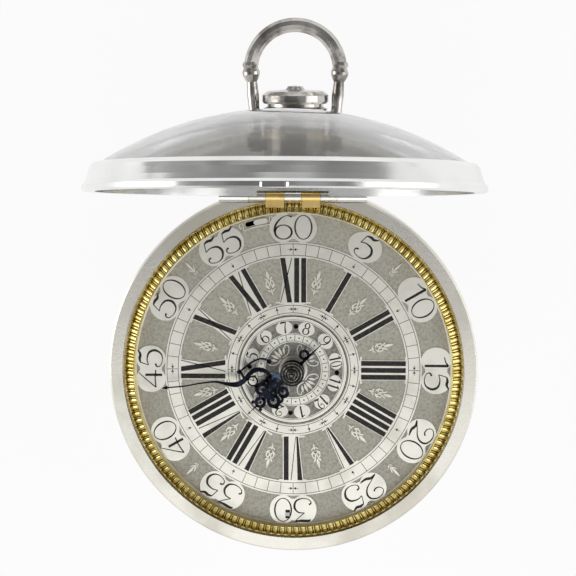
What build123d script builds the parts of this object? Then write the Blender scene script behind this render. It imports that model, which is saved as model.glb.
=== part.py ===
from build123d import *
import math
import os

# A silver coach clock lying on its back, dial up, with its glazed lid open.
# The origin is the centre of the flat on the case back, +Z is out of the dial
# and +Y runs to 12 o'clock, where the hinge, the pendant and the bow are.

# Case
CASE_R = 60.0
CASE_BAND_R = 59.0
CASE_WALL = 1.8
BACK_FLAT_R = 27.0
BOWL_TOP_Z = 27.0
RIM_Z = 48.0
RIM_H = 5.6
RIM_SEAM_DROP = 7.4
RIM_EDGE = 0.6
MOUTH_R = 55.7
LEDGE_R = 54.2
LEDGE_DEPTH = 2.4
LEDGE_T = 1.6
PIERCING_COUNT = 24
PIERCING_W = 4.2
PIERCING_H = 9.0

# Hinge that the lid and the movement share
HINGE_Y = 56.7
HINGE_HALF = 24.0
KNUCKLE_R = 1.6
HINGE_PIN_R = 0.6
CENTRE_KNUCKLE_HALF = 2.7
MOVEMENT_KNUCKLE_END = 8.8
CASE_KNUCKLE_END = 14.3
KNUCKLE_GAP = 0.1
HINGE_RECESS = 2.6
LID_OPEN = 96.0

# Lid
LID_GAP = 0.15
BEZEL_H = 8.3
BEZEL_TOP_R = 57.6
BEZEL_INNER_R = 56.0
GLASS_R = 55.0
GLASS_RISE = 16.5
GLASS_T = 1.2

# Pendant and bow
PENDANT_Z = 30.0
PENDANT_BASE_R = 11.0
PENDANT_DRUM_R = 10.5
PENDANT_NECK_R = 8.8
COLLAR_R = 10.9
COLLAR_TOP_Y = 90.0
COLLAR_H = 4.0
BOW_PIVOT_Y = 75.7
BOW_ARCH_Y = 97.0
BOW_ARCH_R = 14.6
BOW_ARCH_W = 4.7
BOW_ARCH_T = 4.6
BOW_EYE_R = 3.4
BOW_EYE_X = 11.2
BOW_EYE_W = 3.4
BOW_SCREW_R = 1.2

# Dial and its gilt ring
RING_R = 55.4
RING_INNER_R = 51.7
RING_TOP_Z = 49.2
FLUTES = 144
FLUTE_DEPTH = 0.4
DIAL_R = 52.6
DIAL_TOP_Z = 46.3
DIAL_T = 1.4
CHAMPLEVE = 0.25
MINUTE_TRACK = (37.0, 41.9)
QUARTER_RING = (18.2, 21.8)
MINUTE_ZONE_R = 51.2
CARTOUCHE_LOBE = 4.3
CARTOUCHE_STEP = 3.4
SINGLE_CARTOUCHE = 5.7
NUMERALS = ("XII", "I", "II", "III", "IIII", "V", "VI", "VII", "VIII", "IX", "X", "XI")
NUMERAL_BAR = 1.5
NUMERAL_WIDE = 3.9
NUMERAL_GAP = 0.7
NUMERAL_EDGE = 0.35
NUMERAL_SERIF = 1.2
ALARM_DISC_R = 17.5
ALARM_DISC_T = 1.2
ALARM_HOLE_PCR = 14.3
ALARM_DISC_TURN = 3.5
ALARM_ZONE = (16.2, 12.0)
ALARM_CENTRE_R = 9.1
ALARM_SUNK = 0.15
ALARM_LOBE = 2.7
ALARM_FIRST = 12.0
SLIDER_R = 49.7
SLIDER_FROM = 9.6
SLIDER_TO = 14.9
SLOT_TO = 18.3
LATCH_ANGLE = 182.1

# Hands
HOUR_ANGLE = 228.5
MINUTE_ANGLE = 264.7
HAND_T = 0.7
HOUR_HAND_Z = 50.0
MINUTE_HAND_Z = 54.0
BOSS_TOP_Z = 58.4
HAND_HUB_R = 3.9
HOUR_HAND_L = 17.5
HOUR_TAIL_L = 13.1
MINUTE_HAND_L = 42.5

# Movement frame
FRONT_PLATE_R = 52.0
FRONT_PLATE_Z = 37.6
FRONT_PLATE_T = 2.0
BACK_PLATE_R = 41.0
BACK_PLATE_Z = 14.0
BACK_PLATE_T = 1.6
BRASS_EDGE_R = 53.4
BRASS_EDGE_W = 2.5
PILLAR_PCR = 37.0
PILLAR_ANGLES = (25, -40, -110, -165, 112)
PILLAR_R = 2.6
RUN = 0.05
PIVOT_R = 0.6
VERGE_PIVOT_R = 0.35

# Going train
GREAT_TEETH = 60
GREAT_MODULE = 0.6
CENTRE_PINION_LEAVES = 12
CENTRE_TEETH = 60
CENTRE_MODULE = 0.5
THIRD_LEAVES = 8
THIRD_TEETH = 56
THIRD_MODULE = 0.45
CONTRATE_LEAVES = 8
CONTRATE_TEETH = 48
CROWN_LEAVES = 8
CROWN_PINION_R = 1.5
CROWN_LEAF_T = 0.3
CONTRATE_TOOTH_T = 0.36
CONTRATE_MESH = 1.05
CROWN_TEETH = 15
CROWN_R = 5.0
CROWN_TOOTH_L = 2.4
CROWN_RIM = 0.7
WHEEL_T = 1.2
FUSEE_ANGLE = 150.0
THIRD_ANGLE = -35.0
CONTRATE_ANGLE = -135.0
FUSEE_R = 13.0
FUSEE_SMALL_R = 7.0
FUSEE_GROOVES = 7
BARREL_R = 15.0
BARREL_PCR = 25.0
BARREL_ANGLE = 60.0
BARREL_H = 15.0
BARREL_CAP = 1.2
WINDING_SQUARE = 2.2
SETTING_SQUARE = 2.0
CROWN_Z = 21.5
BALANCE_R = 13.0
BALANCE_Z = 10.8
COCK_Z = 8.2
COCK_T = 1.3
COCK_R = 10.5
COCK_ANGLE = 50.0
COCK_FOOT_R = BALANCE_R + 4.5

# Motion work under the dial
CANNON_LEAVES = 12
MINUTE_WHEEL_TEETH = 36
MINUTE_WHEEL_MODULE = 0.5
MINUTE_PINION_LEAVES = 10
HOUR_WHEEL_TEETH = 40
HOUR_WHEEL_MODULE = 0.48
MOTION_ANGLE = -60.0
CENTRE_POST_R = 0.95
CANNON_PIPE_R = 1.6
CANNON_END_R = 1.2
HOUR_PIPE_R = 2.6

# Alarm work and bell
BELL_R = 49.5
BELL_FLAT_R = 30.0
BELL_TOP_Z = 27.0
BELL_BASE_Z = 4.4
BELL_T = 1.1
HAMMER_AT = (-3.3, 37.0)
HAMMER_ARM = (9.5, 4.5)
HAMMER_Z = 21.0
ALARM_BARREL_AT = (32.0, 3.0)
ALARM_BARREL_R = 8.0
REGULATOR_AT = (14.0, -24.0)
REGULATOR_R = 6.0

HINGE_AXIS = Axis((0, HINGE_Y, RIM_Z), (1, 0, 0))
os.makedirs("parts", exist_ok=True)


def save(name, *shapes):
    """Write one node; several shapes stay separate solids."""
    solids = [s for shape in shapes for s in shape.solids()]
    whole = solids[0] if len(solids) == 1 else Compound(children=solids)
    export_step(whole, f"parts/{name}.step")


def polar(radius, degrees):
    """A point by radius and angle anticlockwise from +X."""
    angle = math.radians(degrees)
    return (radius * math.cos(angle), radius * math.sin(angle))


def clock(radius, degrees):
    """A point by radius and angle clockwise from 12 o'clock."""
    return polar(radius, 90 - degrees)


def rod(radius, low, high, at=(0, 0)):
    """A round bar along Z."""
    place = Location((at[0], at[1], low))
    return place * Cylinder(radius, high - low, align=(Align.CENTER, Align.CENTER, Align.MIN))


def square_bar(width, low, high, at=(0, 0)):
    """A square bar along Z."""
    place = Location((at[0], at[1], low))
    return place * Box(width, width, high - low, align=(Align.CENTER, Align.CENTER, Align.MIN))


def tube(outer, inner, low, high, at=(0, 0)):
    """A round tube along Z."""
    return rod(outer, low, high, at) - rod(inner, low - 1, high + 1, at)


def block(low, high):
    """A box between two corners."""
    size = [b - a for a, b in zip(low, high)]
    return Location(low) * Box(*size, align=(Align.MIN, Align.MIN, Align.MIN))


def turned(points):
    """A solid of revolution about Z from (radius, height) points."""
    return revolve(Plane.XZ * make_face(Polyline(*points, close=True)), Axis.Z)


def plate(sketch, low, high):
    """A flat piece cut from a sketch."""
    return extrude(Location((0, 0, low)) * sketch, high - low)


def toothed(teeth, module, tip, root, width, phase):
    """A wheel or pinion outline with straight sided teeth, thin enough to run with play."""
    pitch_r = module * teeth / 2
    half = width * math.pi * module / 4
    ring = []
    for k in range(teeth):
        middle = math.radians(phase) + 2 * math.pi * k / teeth
        for radius, share in ((root, -1.25), (tip, -0.5), (tip, 0.5), (root, 1.25)):
            reach = pitch_r + radius * module
            turn = middle + share * half / reach
            ring.append((reach * math.cos(turn), reach * math.sin(turn)))
    return make_face(Polyline(*ring, close=True))


def wheel(teeth, module, phase, low, thickness, bore, spokes=4, rim=2.0, hub=2.6, at=(0, 0)):
    """A train wheel with crossed out arms."""
    root_r = module * teeth / 2 - 1.05 * module
    body = toothed(teeth, module, 0.75, -1.05, 0.8, phase)
    window = Circle(root_r - rim) - Circle(hub)
    for k in range(spokes):
        window -= Rot(0, 0, k * 360 / spokes) * Rectangle(
            root_r, 1.3, align=(Align.MIN, Align.CENTER)
        )
    body = body - window - Circle(bore)
    return Location((at[0], at[1], 0)) * plate(body, low, low + thickness)


def pinion(leaves, module, phase, low, high, at=(0, 0)):
    """A solid pinion."""
    body = toothed(leaves, module, 0.7, -1.1, 0.72, phase)
    return Location((at[0], at[1], 0)) * plate(body, low, high)


def hinge_rod(x_low, x_high, radius):
    """A round bar on the hinge axis."""
    place = Location((x_low, HINGE_Y, RIM_Z), (0, 90, 0))
    return place * Cylinder(radius, x_high - x_low, align=(Align.CENTER, Align.CENTER, Align.MIN))


def both_sides(shape):
    """A shape and its mirror image across X."""
    return [shape, mirror(shape, Plane.YZ)]


def bowl_arc(flat_r, low, top_r, top_z):
    """Three points of an arc that leaves a flat floor without a corner."""
    reach = top_r - flat_r
    rise = top_z - low
    radius = (reach**2 + rise**2) / (2 * rise)
    half_turn = math.asin(reach / radius) / 2
    if rise > radius:
        half_turn = (math.pi - math.asin(reach / radius)) / 2
    bend_x = flat_r + radius * math.sin(half_turn)
    bend = (bend_x, low + radius * (1 - math.cos(half_turn)))
    return [(flat_r, low), bend, (top_r, top_z)]


# Case: a spun bowl, a pierced sound band and a heavy rim with a ledge for the movement, soldered
case_wall_r = CASE_BAND_R - CASE_WALL
rim_seam_z = RIM_Z - RIM_SEAM_DROP
ledge_z = RIM_Z - LEDGE_DEPTH
ledge_under = ledge_z - LEDGE_T


def bowl_face(offset, top_z):
    """Half the section of the bowl, moved in by an offset and closed at a height."""
    arc = bowl_arc(BACK_FLAT_R, offset, CASE_BAND_R - offset, BOWL_TOP_Z)
    wall = Polyline(arc[2], (arc[2][0], top_z), (0, top_z), (0, offset))
    return Plane.XZ * make_face([Line((0, offset), arc[0]), ThreePointArc(*arc), wall])


def bowl_solid(offset, top_z=BOWL_TOP_Z + 1):
    """The filled bowl, moved in by an offset."""
    return revolve(bowl_face(offset, top_z), Axis.Z)


def hinge_recess(low, high):
    """The straight channel that the hinge lies in."""
    return block((-HINGE_HALF, HINGE_Y - KNUCKLE_R - 0.3, low), (HINGE_HALF, CASE_R + 1, high))


def piercings():
    """Sound holes in the band, left out behind the pendant."""
    middle = (BOWL_TOP_Z + RIM_Z - RIM_H) / 2
    slot = Plane.XZ * SlotOverall(PIERCING_H, PIERCING_W, rotation=90)
    cutter = extrude(slot, -CASE_R - 5)
    holes = []
    for k in range(PIERCING_COUNT):
        turn = 360 * (k + 0.5) / PIERCING_COUNT
        if abs((turn + 180) % 360 - 180) > 18:
            holes.append(Location((0, 0, middle), (0, 0, turn)) * cutter)
    return holes


def under_seam():
    """Everything below the top of the bowl."""
    return rod(CASE_R + 1, -1, BOWL_TOP_Z)


outside = bowl_solid(0, RIM_Z)
save("case_body", (outside - bowl_solid(CASE_WALL)) & under_seam())

case_band = tube(CASE_BAND_R, case_wall_r, BOWL_TOP_Z, rim_seam_z)
save("case_band", case_band - piercings())

rim_points = [
    (CASE_BAND_R, rim_seam_z),
    (CASE_BAND_R, RIM_Z - RIM_H - 1.5 * RIM_EDGE),
    (CASE_R, RIM_Z - RIM_H),
    (CASE_R, RIM_Z - RIM_EDGE),
    (CASE_R - RIM_EDGE, RIM_Z),
    (MOUTH_R, RIM_Z),
    (MOUTH_R, ledge_z),
    (LEDGE_R, ledge_z),
    (LEDGE_R, ledge_under),
    (case_wall_r, ledge_under - (case_wall_r - LEDGE_R)),
    (case_wall_r, rim_seam_z),
]
save("case_rim", turned(rim_points) - hinge_recess(RIM_Z - HINGE_RECESS, RIM_Z + 1))


# Hinge: silver knuckles of the case, gilt ones of the movement, silver ones of the lid
def knuckle(x_low, x_high, foot_low, foot_high, foot_y, pin_gap=RUN):
    """One knuckle with the web that joins it to its piece."""
    barrel = hinge_rod(x_low, x_high, KNUCKLE_R)
    foot = block((x_low, foot_y[0], foot_low), (x_high, foot_y[1], foot_high))
    return barrel + foot - hinge_rod(x_low - 1, x_high + 1, HINGE_PIN_R + pin_gap)


foot_y = (HINGE_Y - KNUCKLE_R, HINGE_Y + KNUCKLE_R)
centre_knuckle = knuckle(
    -CENTRE_KNUCKLE_HALF, CENTRE_KNUCKLE_HALF, RIM_Z - HINGE_RECESS, RIM_Z, foot_y
)
case_knuckle = knuckle(
    MOVEMENT_KNUCKLE_END + KNUCKLE_GAP, CASE_KNUCKLE_END, RIM_Z - HINGE_RECESS, RIM_Z, foot_y
)
save("case_knuckles", centre_knuckle, *both_sides(case_knuckle))
save("hinge_pin", hinge_rod(-HINGE_HALF + 0.3, HINGE_HALF - 0.3, HINGE_PIN_R))


# Pendant and the screws that the bow turns on
def pendant_shape():
    drum_low = 67.5
    collar_low = COLLAR_TOP_Y - COLLAR_H
    profile = [
        (0, CASE_R - 12),
        (PENDANT_BASE_R, CASE_R - 12),
        (PENDANT_BASE_R, CASE_R + 0.8),
        (PENDANT_BASE_R - 1.0, CASE_R + 2.0),
        (PENDANT_NECK_R, CASE_R + 4.0),
        (PENDANT_NECK_R, drum_low - 1.2),
        (PENDANT_DRUM_R, drum_low),
        (PENDANT_DRUM_R, collar_low - 1.6),
        (PENDANT_DRUM_R - 1.3, collar_low - 1.0),
        (PENDANT_DRUM_R - 1.3, collar_low),
        (COLLAR_R - 0.4, collar_low),
        (COLLAR_R, collar_low + 0.7),
        (COLLAR_R, COLLAR_TOP_Y - 1.2),
        (COLLAR_R - 1.6, COLLAR_TOP_Y),
        (3.2, COLLAR_TOP_Y + 0.5),
        (2.4, COLLAR_TOP_Y + 1.6),
        (0, COLLAR_TOP_Y + 1.8),
    ]
    lathe = Location((0, 0, PENDANT_Z), (-90, 0, 0)) * turned(profile)
    return lathe


def across(x_low, x_high, radius, y=BOW_PIVOT_Y, z=PENDANT_Z):
    """A round bar along X through the bow pivot."""
    place = Location((x_low, y, z), (0, 90, 0))
    return place * Cylinder(radius, x_high - x_low, align=(Align.CENTER, Align.CENTER, Align.MIN))


screw_root_x = PENDANT_DRUM_R - 3.0
screw_head_x = BOW_EYE_X + BOW_EYE_W + 0.15
pendant = pendant_shape() - outside
for side in (-1, 1):
    boss_x = sorted((side * (PENDANT_DRUM_R - 2.0), side * (BOW_EYE_X - 0.15)))
    drill_x = sorted((side * screw_root_x, side * (BOW_EYE_X + 1)))
    pendant += across(*boss_x, BOW_EYE_R - 0.3)
    pendant -= across(*drill_x, BOW_SCREW_R)
save("pendant", pendant)

bow_screw = across(screw_root_x, screw_head_x, BOW_SCREW_R)
bow_screw += across(screw_head_x, screw_head_x + 1.1, BOW_EYE_R - 0.8)
bow_screw -= block(
    (screw_head_x + 0.6, BOW_PIVOT_Y - BOW_EYE_R, PENDANT_Z - 0.25),
    (screw_head_x + 2, BOW_PIVOT_Y + BOW_EYE_R, PENDANT_Z + 0.25),
)
save("bow_screws", *both_sides(bow_screw))


# Bow: a stirrup with a ridged arch, turned knops and baluster legs
def bow_leg():
    """One leg, from its eye up to the springing of the arch."""
    eye_x = BOW_EYE_X + BOW_EYE_W / 2
    foot = Vector(eye_x, BOW_PIVOT_Y, PENDANT_Z)
    head = Vector(BOW_ARCH_R, BOW_ARCH_Y, PENDANT_Z)
    length = (head - foot).length
    profile = [
        (0, 0),
        (2.3, 0),
        (2.3, 3.4),
        (1.75, 5.0),
        (1.8, 9.0),
        (2.0, 13.0),
        (1.7, length - 4.0),
        (2.2, length - 3.2),
        (2.9, length - 1.6),
        (2.9, length - 0.6),
        (2.3, length + 0.6),
        (2.7, length + 1.6),
        (2.3, length + 2.6),
        (0, length + 2.6),
    ]
    leg = Plane(origin=foot, z_dir=head - foot) * turned(profile)
    eye = across(BOW_EYE_X, BOW_EYE_X + BOW_EYE_W, BOW_EYE_R)
    keep = block(
        (BOW_EYE_X, BOW_PIVOT_Y - 5, PENDANT_Z - 9), (BOW_ARCH_R + 9, BOW_ARCH_Y + 9, PENDANT_Z + 9)
    )
    hole = across(BOW_EYE_X - 1, BOW_EYE_X + BOW_EYE_W + 4, BOW_SCREW_R + RUN)
    pocket = across(BOW_EYE_X + BOW_EYE_W, BOW_EYE_X + BOW_EYE_W + 4, BOW_EYE_R)
    return ((leg + eye) & keep) - hole - pocket


def bow_arch():
    """The half ring of the stirrup, with a ridge inside and out."""
    half_w = BOW_ARCH_W / 2
    half_t = BOW_ARCH_T / 2
    section = [
        (BOW_ARCH_R - half_w, 0),
        (BOW_ARCH_R - half_w * 0.6, -half_t * 0.75),
        (BOW_ARCH_R, -half_t),
        (BOW_ARCH_R + half_w * 0.6, -half_t * 0.75),
        (BOW_ARCH_R + half_w, 0),
        (BOW_ARCH_R + half_w * 0.6, half_t * 0.75),
        (BOW_ARCH_R, half_t),
        (BOW_ARCH_R - half_w * 0.6, half_t * 0.75),
    ]
    face = Plane.XZ * make_face(Polyline(*section, close=True))
    return Location((0, BOW_ARCH_Y, PENDANT_Z)) * revolve(face, Axis.Z, 180)


bow = bow_arch()
for leg in both_sides(bow_leg()):
    bow += leg
save("bow", bow)


# Bell and the stud that holds it in the case back
bell_outer = bowl_arc(BELL_FLAT_R, BELL_BASE_Z, BELL_R, BELL_TOP_Z)
bell_inner = bowl_arc(BELL_FLAT_R, BELL_BASE_Z + BELL_T, BELL_R - BELL_T, BELL_TOP_Z)
bell_bore_r = 2.0
bell_face = make_face(
    [
        Line((bell_bore_r, BELL_BASE_Z), bell_outer[0]),
        ThreePointArc(*bell_outer),
        Line(bell_outer[2], bell_inner[2]),
        ThreePointArc(*bell_inner),
        Line(bell_inner[0], (bell_bore_r, BELL_BASE_Z + BELL_T)),
        Line((bell_bore_r, BELL_BASE_Z + BELL_T), (bell_bore_r, BELL_BASE_Z)),
    ]
)
save("bell", revolve(Plane.XZ * bell_face, Axis.Z))
stud_top = BELL_BASE_Z + BELL_T + 0.3
stud = rod(5.0, CASE_WALL, BELL_BASE_Z) + rod(bell_bore_r - 0.1, CASE_WALL, stud_top)
nut_shape = RegularPolygon(3.4, 6) - Circle(bell_bore_r - RUN)
nut = plate(nut_shape, BELL_BASE_Z + BELL_T, stud_top + 0.9)
save("bell_stud", stud)
save("bell_nut", nut)


# Lid: silver bezel with its knuckles and a domed glass, drawn shut and then opened
def opened(shape):
    return shape.rotate(HINGE_AXIS, -LID_OPEN)


bezel_low = RIM_Z + LID_GAP
bezel_top = bezel_low + BEZEL_H
glass_seat = bezel_top - 1.6
bezel_points = [
    (BEZEL_INNER_R, bezel_low),
    (CASE_R - 0.5, bezel_low),
    (CASE_R, bezel_low + 0.5),
    (CASE_R, bezel_low + 1.8),
    (CASE_R - 0.9, bezel_low + 2.6),
    (CASE_R - 1.5, bezel_low + 4.2),
    (BEZEL_TOP_R + 0.3, bezel_low + 6.2),
    (BEZEL_TOP_R, bezel_low + 7.4),
    (BEZEL_TOP_R - 1.0, bezel_top),
    (GLASS_R + 0.25, bezel_top + 0.35),
    (GLASS_R + 0.05, glass_seat),
    (GLASS_R - 0.9, glass_seat),
    (GLASS_R - 0.9, glass_seat - 0.8),
    (BEZEL_INNER_R, glass_seat - 1.8),
]
hinge_clear = RIM_Z + KNUCKLE_R + 0.3
bezel = turned(bezel_points) - hinge_recess(RIM_Z - 1, hinge_clear)
bezel -= block(
    (-HINGE_HALF, HINGE_Y + KNUCKLE_R, RIM_Z - 1), (HINGE_HALF, CASE_R + 2, bezel_top + 2)
)
thumb = block((-4.0, -CASE_R - 1.4, bezel_low + 0.2), (4.0, -CASE_R + 1.5, bezel_low + 1.5))
bezel += fillet(thumb.edges().filter_by(Axis.Z).group_by(Axis.Y)[0], 1.2)
save("bezel", opened(bezel))

lid_foot = (HINGE_Y - KNUCKLE_R, HINGE_Y + KNUCKLE_R - 0.4)
lid_knuckle = knuckle(
    CASE_KNUCKLE_END + KNUCKLE_GAP, HINGE_HALF - 0.2, RIM_Z, hinge_clear, lid_foot
)
save("bezel_knuckles", *[opened(k) for k in both_sides(lid_knuckle)])

glass_ball = (GLASS_R**2 + GLASS_RISE**2) / (2 * GLASS_RISE)
glass_mid = bezel_top + GLASS_RISE - glass_ball


def glass_arc(radius, edge):
    """A meridian of the dome, from its edge to the top."""
    edge_z = glass_mid + math.sqrt(radius**2 - edge**2)
    half = edge / 2
    return [(edge, edge_z), (half, glass_mid + math.sqrt(radius**2 - half**2)), (0, glass_mid + radius)]


outer_arc = glass_arc(glass_ball, GLASS_R)
inner_arc = glass_arc(glass_ball - GLASS_T, GLASS_R - GLASS_T)
glass_face = make_face(
    [
        ThreePointArc(*outer_arc),
        Line(outer_arc[2], inner_arc[2]),
        ThreePointArc(*inner_arc[::-1]),
        Polyline(
            inner_arc[0], (GLASS_R - GLASS_T, glass_seat), (GLASS_R, glass_seat), outer_arc[0]
        ),
    ]
)
save("glass", opened(revolve(Plane.XZ * glass_face, Axis.Z)))


# Gilt ring of the dial, fluted all round, and the knuckles that the movement swings on
def star(radius, height):
    """A closed zigzag with one tooth for each flute."""
    points = []
    for k in range(2 * FLUTES):
        reach = radius - FLUTE_DEPTH * (k % 2)
        points.append((*polar(reach, 180 * k / FLUTES), height))
    return make_face(Polyline(*points, close=True))


flute_low = ledge_z + 1.2
dial_ring = loft([star(RING_R - 0.3, flute_low), star(RING_INNER_R + 0.9, RING_TOP_Z)], ruled=True)
dial_ring += rod(RING_R, ledge_z, flute_low)
dial_ring += rod(DIAL_R + 1.3, DIAL_TOP_Z - DIAL_T, ledge_z)
dial_ring -= rod(RING_INNER_R, DIAL_TOP_Z - DIAL_T - 1, RING_TOP_Z + 1)
dial_ring -= rod(DIAL_R + 0.05, DIAL_TOP_Z - DIAL_T - 1, DIAL_TOP_Z + 0.02)
dial_ring -= block(
    (-HINGE_HALF, HINGE_Y - KNUCKLE_R - 0.25, ledge_z - 2), (HINGE_HALF, CASE_R, RING_TOP_Z + 1)
)
arm_low = (CENTRE_KNUCKLE_HALF + KNUCKLE_GAP, HINGE_Y - 3.4, DIAL_TOP_Z + 0.3)
arm_high = (MOVEMENT_KNUCKLE_END, HINGE_Y - 1.0, RIM_Z + 0.9)
dial_ring -= both_sides(block(arm_low, (arm_high[0], CASE_R, RING_TOP_Z + 1)))
save("dial_ring", dial_ring)

swing_knuckle = hinge_rod(arm_low[0], arm_high[0], KNUCKLE_R) + block(arm_low, arm_high)
swing_knuckle -= hinge_rod(arm_low[0] - 1, arm_high[0] + 1, HINGE_PIN_R + RUN)
save("movement_knuckles", *both_sides(swing_knuckle))


# Dial: champleve plate, its polished chapters and cartouches standing above the sunk ground
dial_low = DIAL_TOP_Z - DIAL_T
dial_ground = DIAL_TOP_Z - CHAMPLEVE
dial = tube(DIAL_R, ALARM_DISC_R + 0.3, dial_low, dial_ground)
dial += tube(DIAL_R, MINUTE_ZONE_R, dial_ground, DIAL_TOP_Z)
dial += tube(MINUTE_TRACK[1], MINUTE_TRACK[0], dial_ground, DIAL_TOP_Z)
dial += tube(QUARTER_RING[1], QUARTER_RING[0], dial_ground, DIAL_TOP_Z)


def numeral_side(letter, half, low, high):
    """One edge of a numeral's field, from its inner to its outer end."""
    if letter == "V":
        return [(half - NUMERAL_WIDE / 2 + NUMERAL_EDGE, low), (half, high)]
    if letter == "X":
        return [(half, low), (half - NUMERAL_WIDE * 0.3, (low + high) / 2), (half, high)]
    return [(half, low), (half, high)]


def numeral_field(numeral):
    """The polished field that an hour numeral is cut into, drawn at 12 o'clock."""
    low = QUARTER_RING[1] - 0.2
    high = MINUTE_TRACK[0] + 0.2
    widths = [NUMERAL_BAR if letter == "I" else NUMERAL_WIDE for letter in numeral]
    half = (sum(widths) + NUMERAL_GAP * (len(numeral) - 1)) / 2 + NUMERAL_EDGE
    left = [(-x, y) for x, y in numeral_side(numeral[0], half, low, high)]
    right = numeral_side(numeral[-1], half, low, high)
    field = make_face(Polyline(*left, *right[::-1], close=True))
    for end, reach in ((low + 0.5, right[0][0] - left[0][0]), (high - 0.5, 2 * half)):
        field += Location((0, end, 0)) * Rectangle(reach + 2 * NUMERAL_SERIF, 0.6)
    return field


minute_mid = (MINUTE_TRACK[1] + MINUTE_ZONE_R) / 2
minute_half = (MINUTE_ZONE_R - MINUTE_TRACK[1]) / 2 + 0.2
one_digit = Location((0, minute_mid, 0)) * Ellipse(SINGLE_CARTOUCHE, minute_half)
two_digits = Location((0, minute_mid, 0)) * Rectangle(2 * CARTOUCHE_STEP, minute_half * 1.5)
for side in (-1, 1):
    lobe = Ellipse(CARTOUCHE_LOBE, minute_half)
    two_digits += Location((side * CARTOUCHE_STEP, minute_mid, 0)) * lobe
for hour, numeral in enumerate(NUMERALS):
    turn = Rot(0, 0, -30 * hour)
    cartouche = one_digit if hour == 1 else two_digits
    dial += turn * plate(numeral_field(numeral), dial_ground, DIAL_TOP_Z)
    dial += turn * plate(cartouche, dial_ground, DIAL_TOP_Z)


def ring_slot(radius, width, turn_from, turn_to, low, high):
    """A bent slot with round ends; its angles run anticlockwise from 12 o'clock."""
    path = CenterArc((0, 0), radius, 90 + turn_from, turn_to - turn_from)
    return plate(SlotArc(path, width), low, high)


latch_at = clock(48.1, LATCH_ANGLE)
latch_w = 1.3
dial -= ring_slot(SLIDER_R, 1.5, SLIDER_FROM + 1, SLOT_TO - 1, dial_low - 1, DIAL_TOP_Z + 1)
dial -= block(
    (latch_at[0] - latch_w / 2 - 0.1, latch_at[1] - 1.5, dial_low - 1),
    (latch_at[0] + latch_w / 2 + 0.1, latch_at[1] + 1.4, DIAL_TOP_Z + 1),
)
plate_top = FRONT_PLATE_Z + FRONT_PLATE_T
for foot_turn in (75, 195, 315):
    dial += rod(1.3, plate_top, dial_low, polar(45.0, foot_turn))
save("dial_plate", dial)

slider = ring_slot(SLIDER_R, 1.7, SLIDER_FROM + 1, SLIDER_TO - 1, DIAL_TOP_Z, DIAL_TOP_Z + 0.6)
slider += ring_slot(SLIDER_R, 1.2, SLIDER_FROM + 1.8, SLIDER_TO - 1.8, dial_low - 1.6, DIAL_TOP_Z)
save("alarm_slider", slider)

# Latch: drawn back at rest, it slides out below the ledge of the case
latch_low = plate_top + 2.6
latch_reach = LEDGE_R - 0.25
latch_tail_y = -41.0
latch = block(
    (latch_at[0] - 2.0, -latch_reach, latch_low), (latch_at[0] + 2.0, latch_tail_y, latch_low + 1.0)
)
latch += block(
    (latch_at[0] - latch_w / 2, latch_at[1] - 0.6, latch_low + 1.0),
    (latch_at[0] + latch_w / 2, latch_at[1] + 0.6, DIAL_TOP_Z + 0.5),
)
save("movement_latch", latch)
keeper = block((latch_at[0] - 3.4, -47.0, plate_top), (latch_at[0] + 3.4, -43.0, latch_low - 0.1))
save("latch_keeper", keeper)

# Movement frame
brass_edge = tube(BRASS_EDGE_R, BRASS_EDGE_R - BRASS_EDGE_W, plate_top, dial_low)
brass_edge -= block(
    (latch_at[0] - 2.2, -CASE_R, plate_top - 1), (latch_at[0] + 2.2, latch_tail_y, dial_low + 1)
)
brass_edge -= block(
    (-HINGE_HALF, HINGE_Y - KNUCKLE_R - 1.3, plate_top - 1), (HINGE_HALF, CASE_R, dial_low + 1)
)
save("brass_edge", brass_edge)

frame_low = BACK_PLATE_Z + BACK_PLATE_T
centre = (0.0, 0.0)
great_r = GREAT_MODULE * GREAT_TEETH / 2
fusee_at = polar(GREAT_MODULE * (GREAT_TEETH + CENTRE_PINION_LEAVES) / 2, FUSEE_ANGLE)
barrel_at = polar(BARREL_PCR, BARREL_ANGLE)
third_at = polar(CENTRE_MODULE * (CENTRE_TEETH + THIRD_LEAVES) / 2, THIRD_ANGLE)
third_reach = THIRD_MODULE * (THIRD_TEETH + CONTRATE_LEAVES) / 2
contrate_step = polar(third_reach, CONTRATE_ANGLE)
contrate_at = (third_at[0] + contrate_step[0], third_at[1] + contrate_step[1])
contrate_r = CROWN_PINION_R * CONTRATE_TEETH / CROWN_LEAVES
motion_reach = MINUTE_WHEEL_MODULE * (CANNON_LEAVES + MINUTE_WHEEL_TEETH) / 2
motion_at = polar(motion_reach, MOTION_ANGLE)
crown_pinion_x = contrate_at[0] - contrate_r
crown_face_x = crown_pinion_x - 8.4
verge_x = crown_face_x - 2.5
verge_at = (verge_x, contrate_at[1])
cock_step = polar(COCK_FOOT_R, COCK_ANGLE)
cock_foot = (verge_at[0] + cock_step[0], verge_at[1] + cock_step[1])

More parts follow.
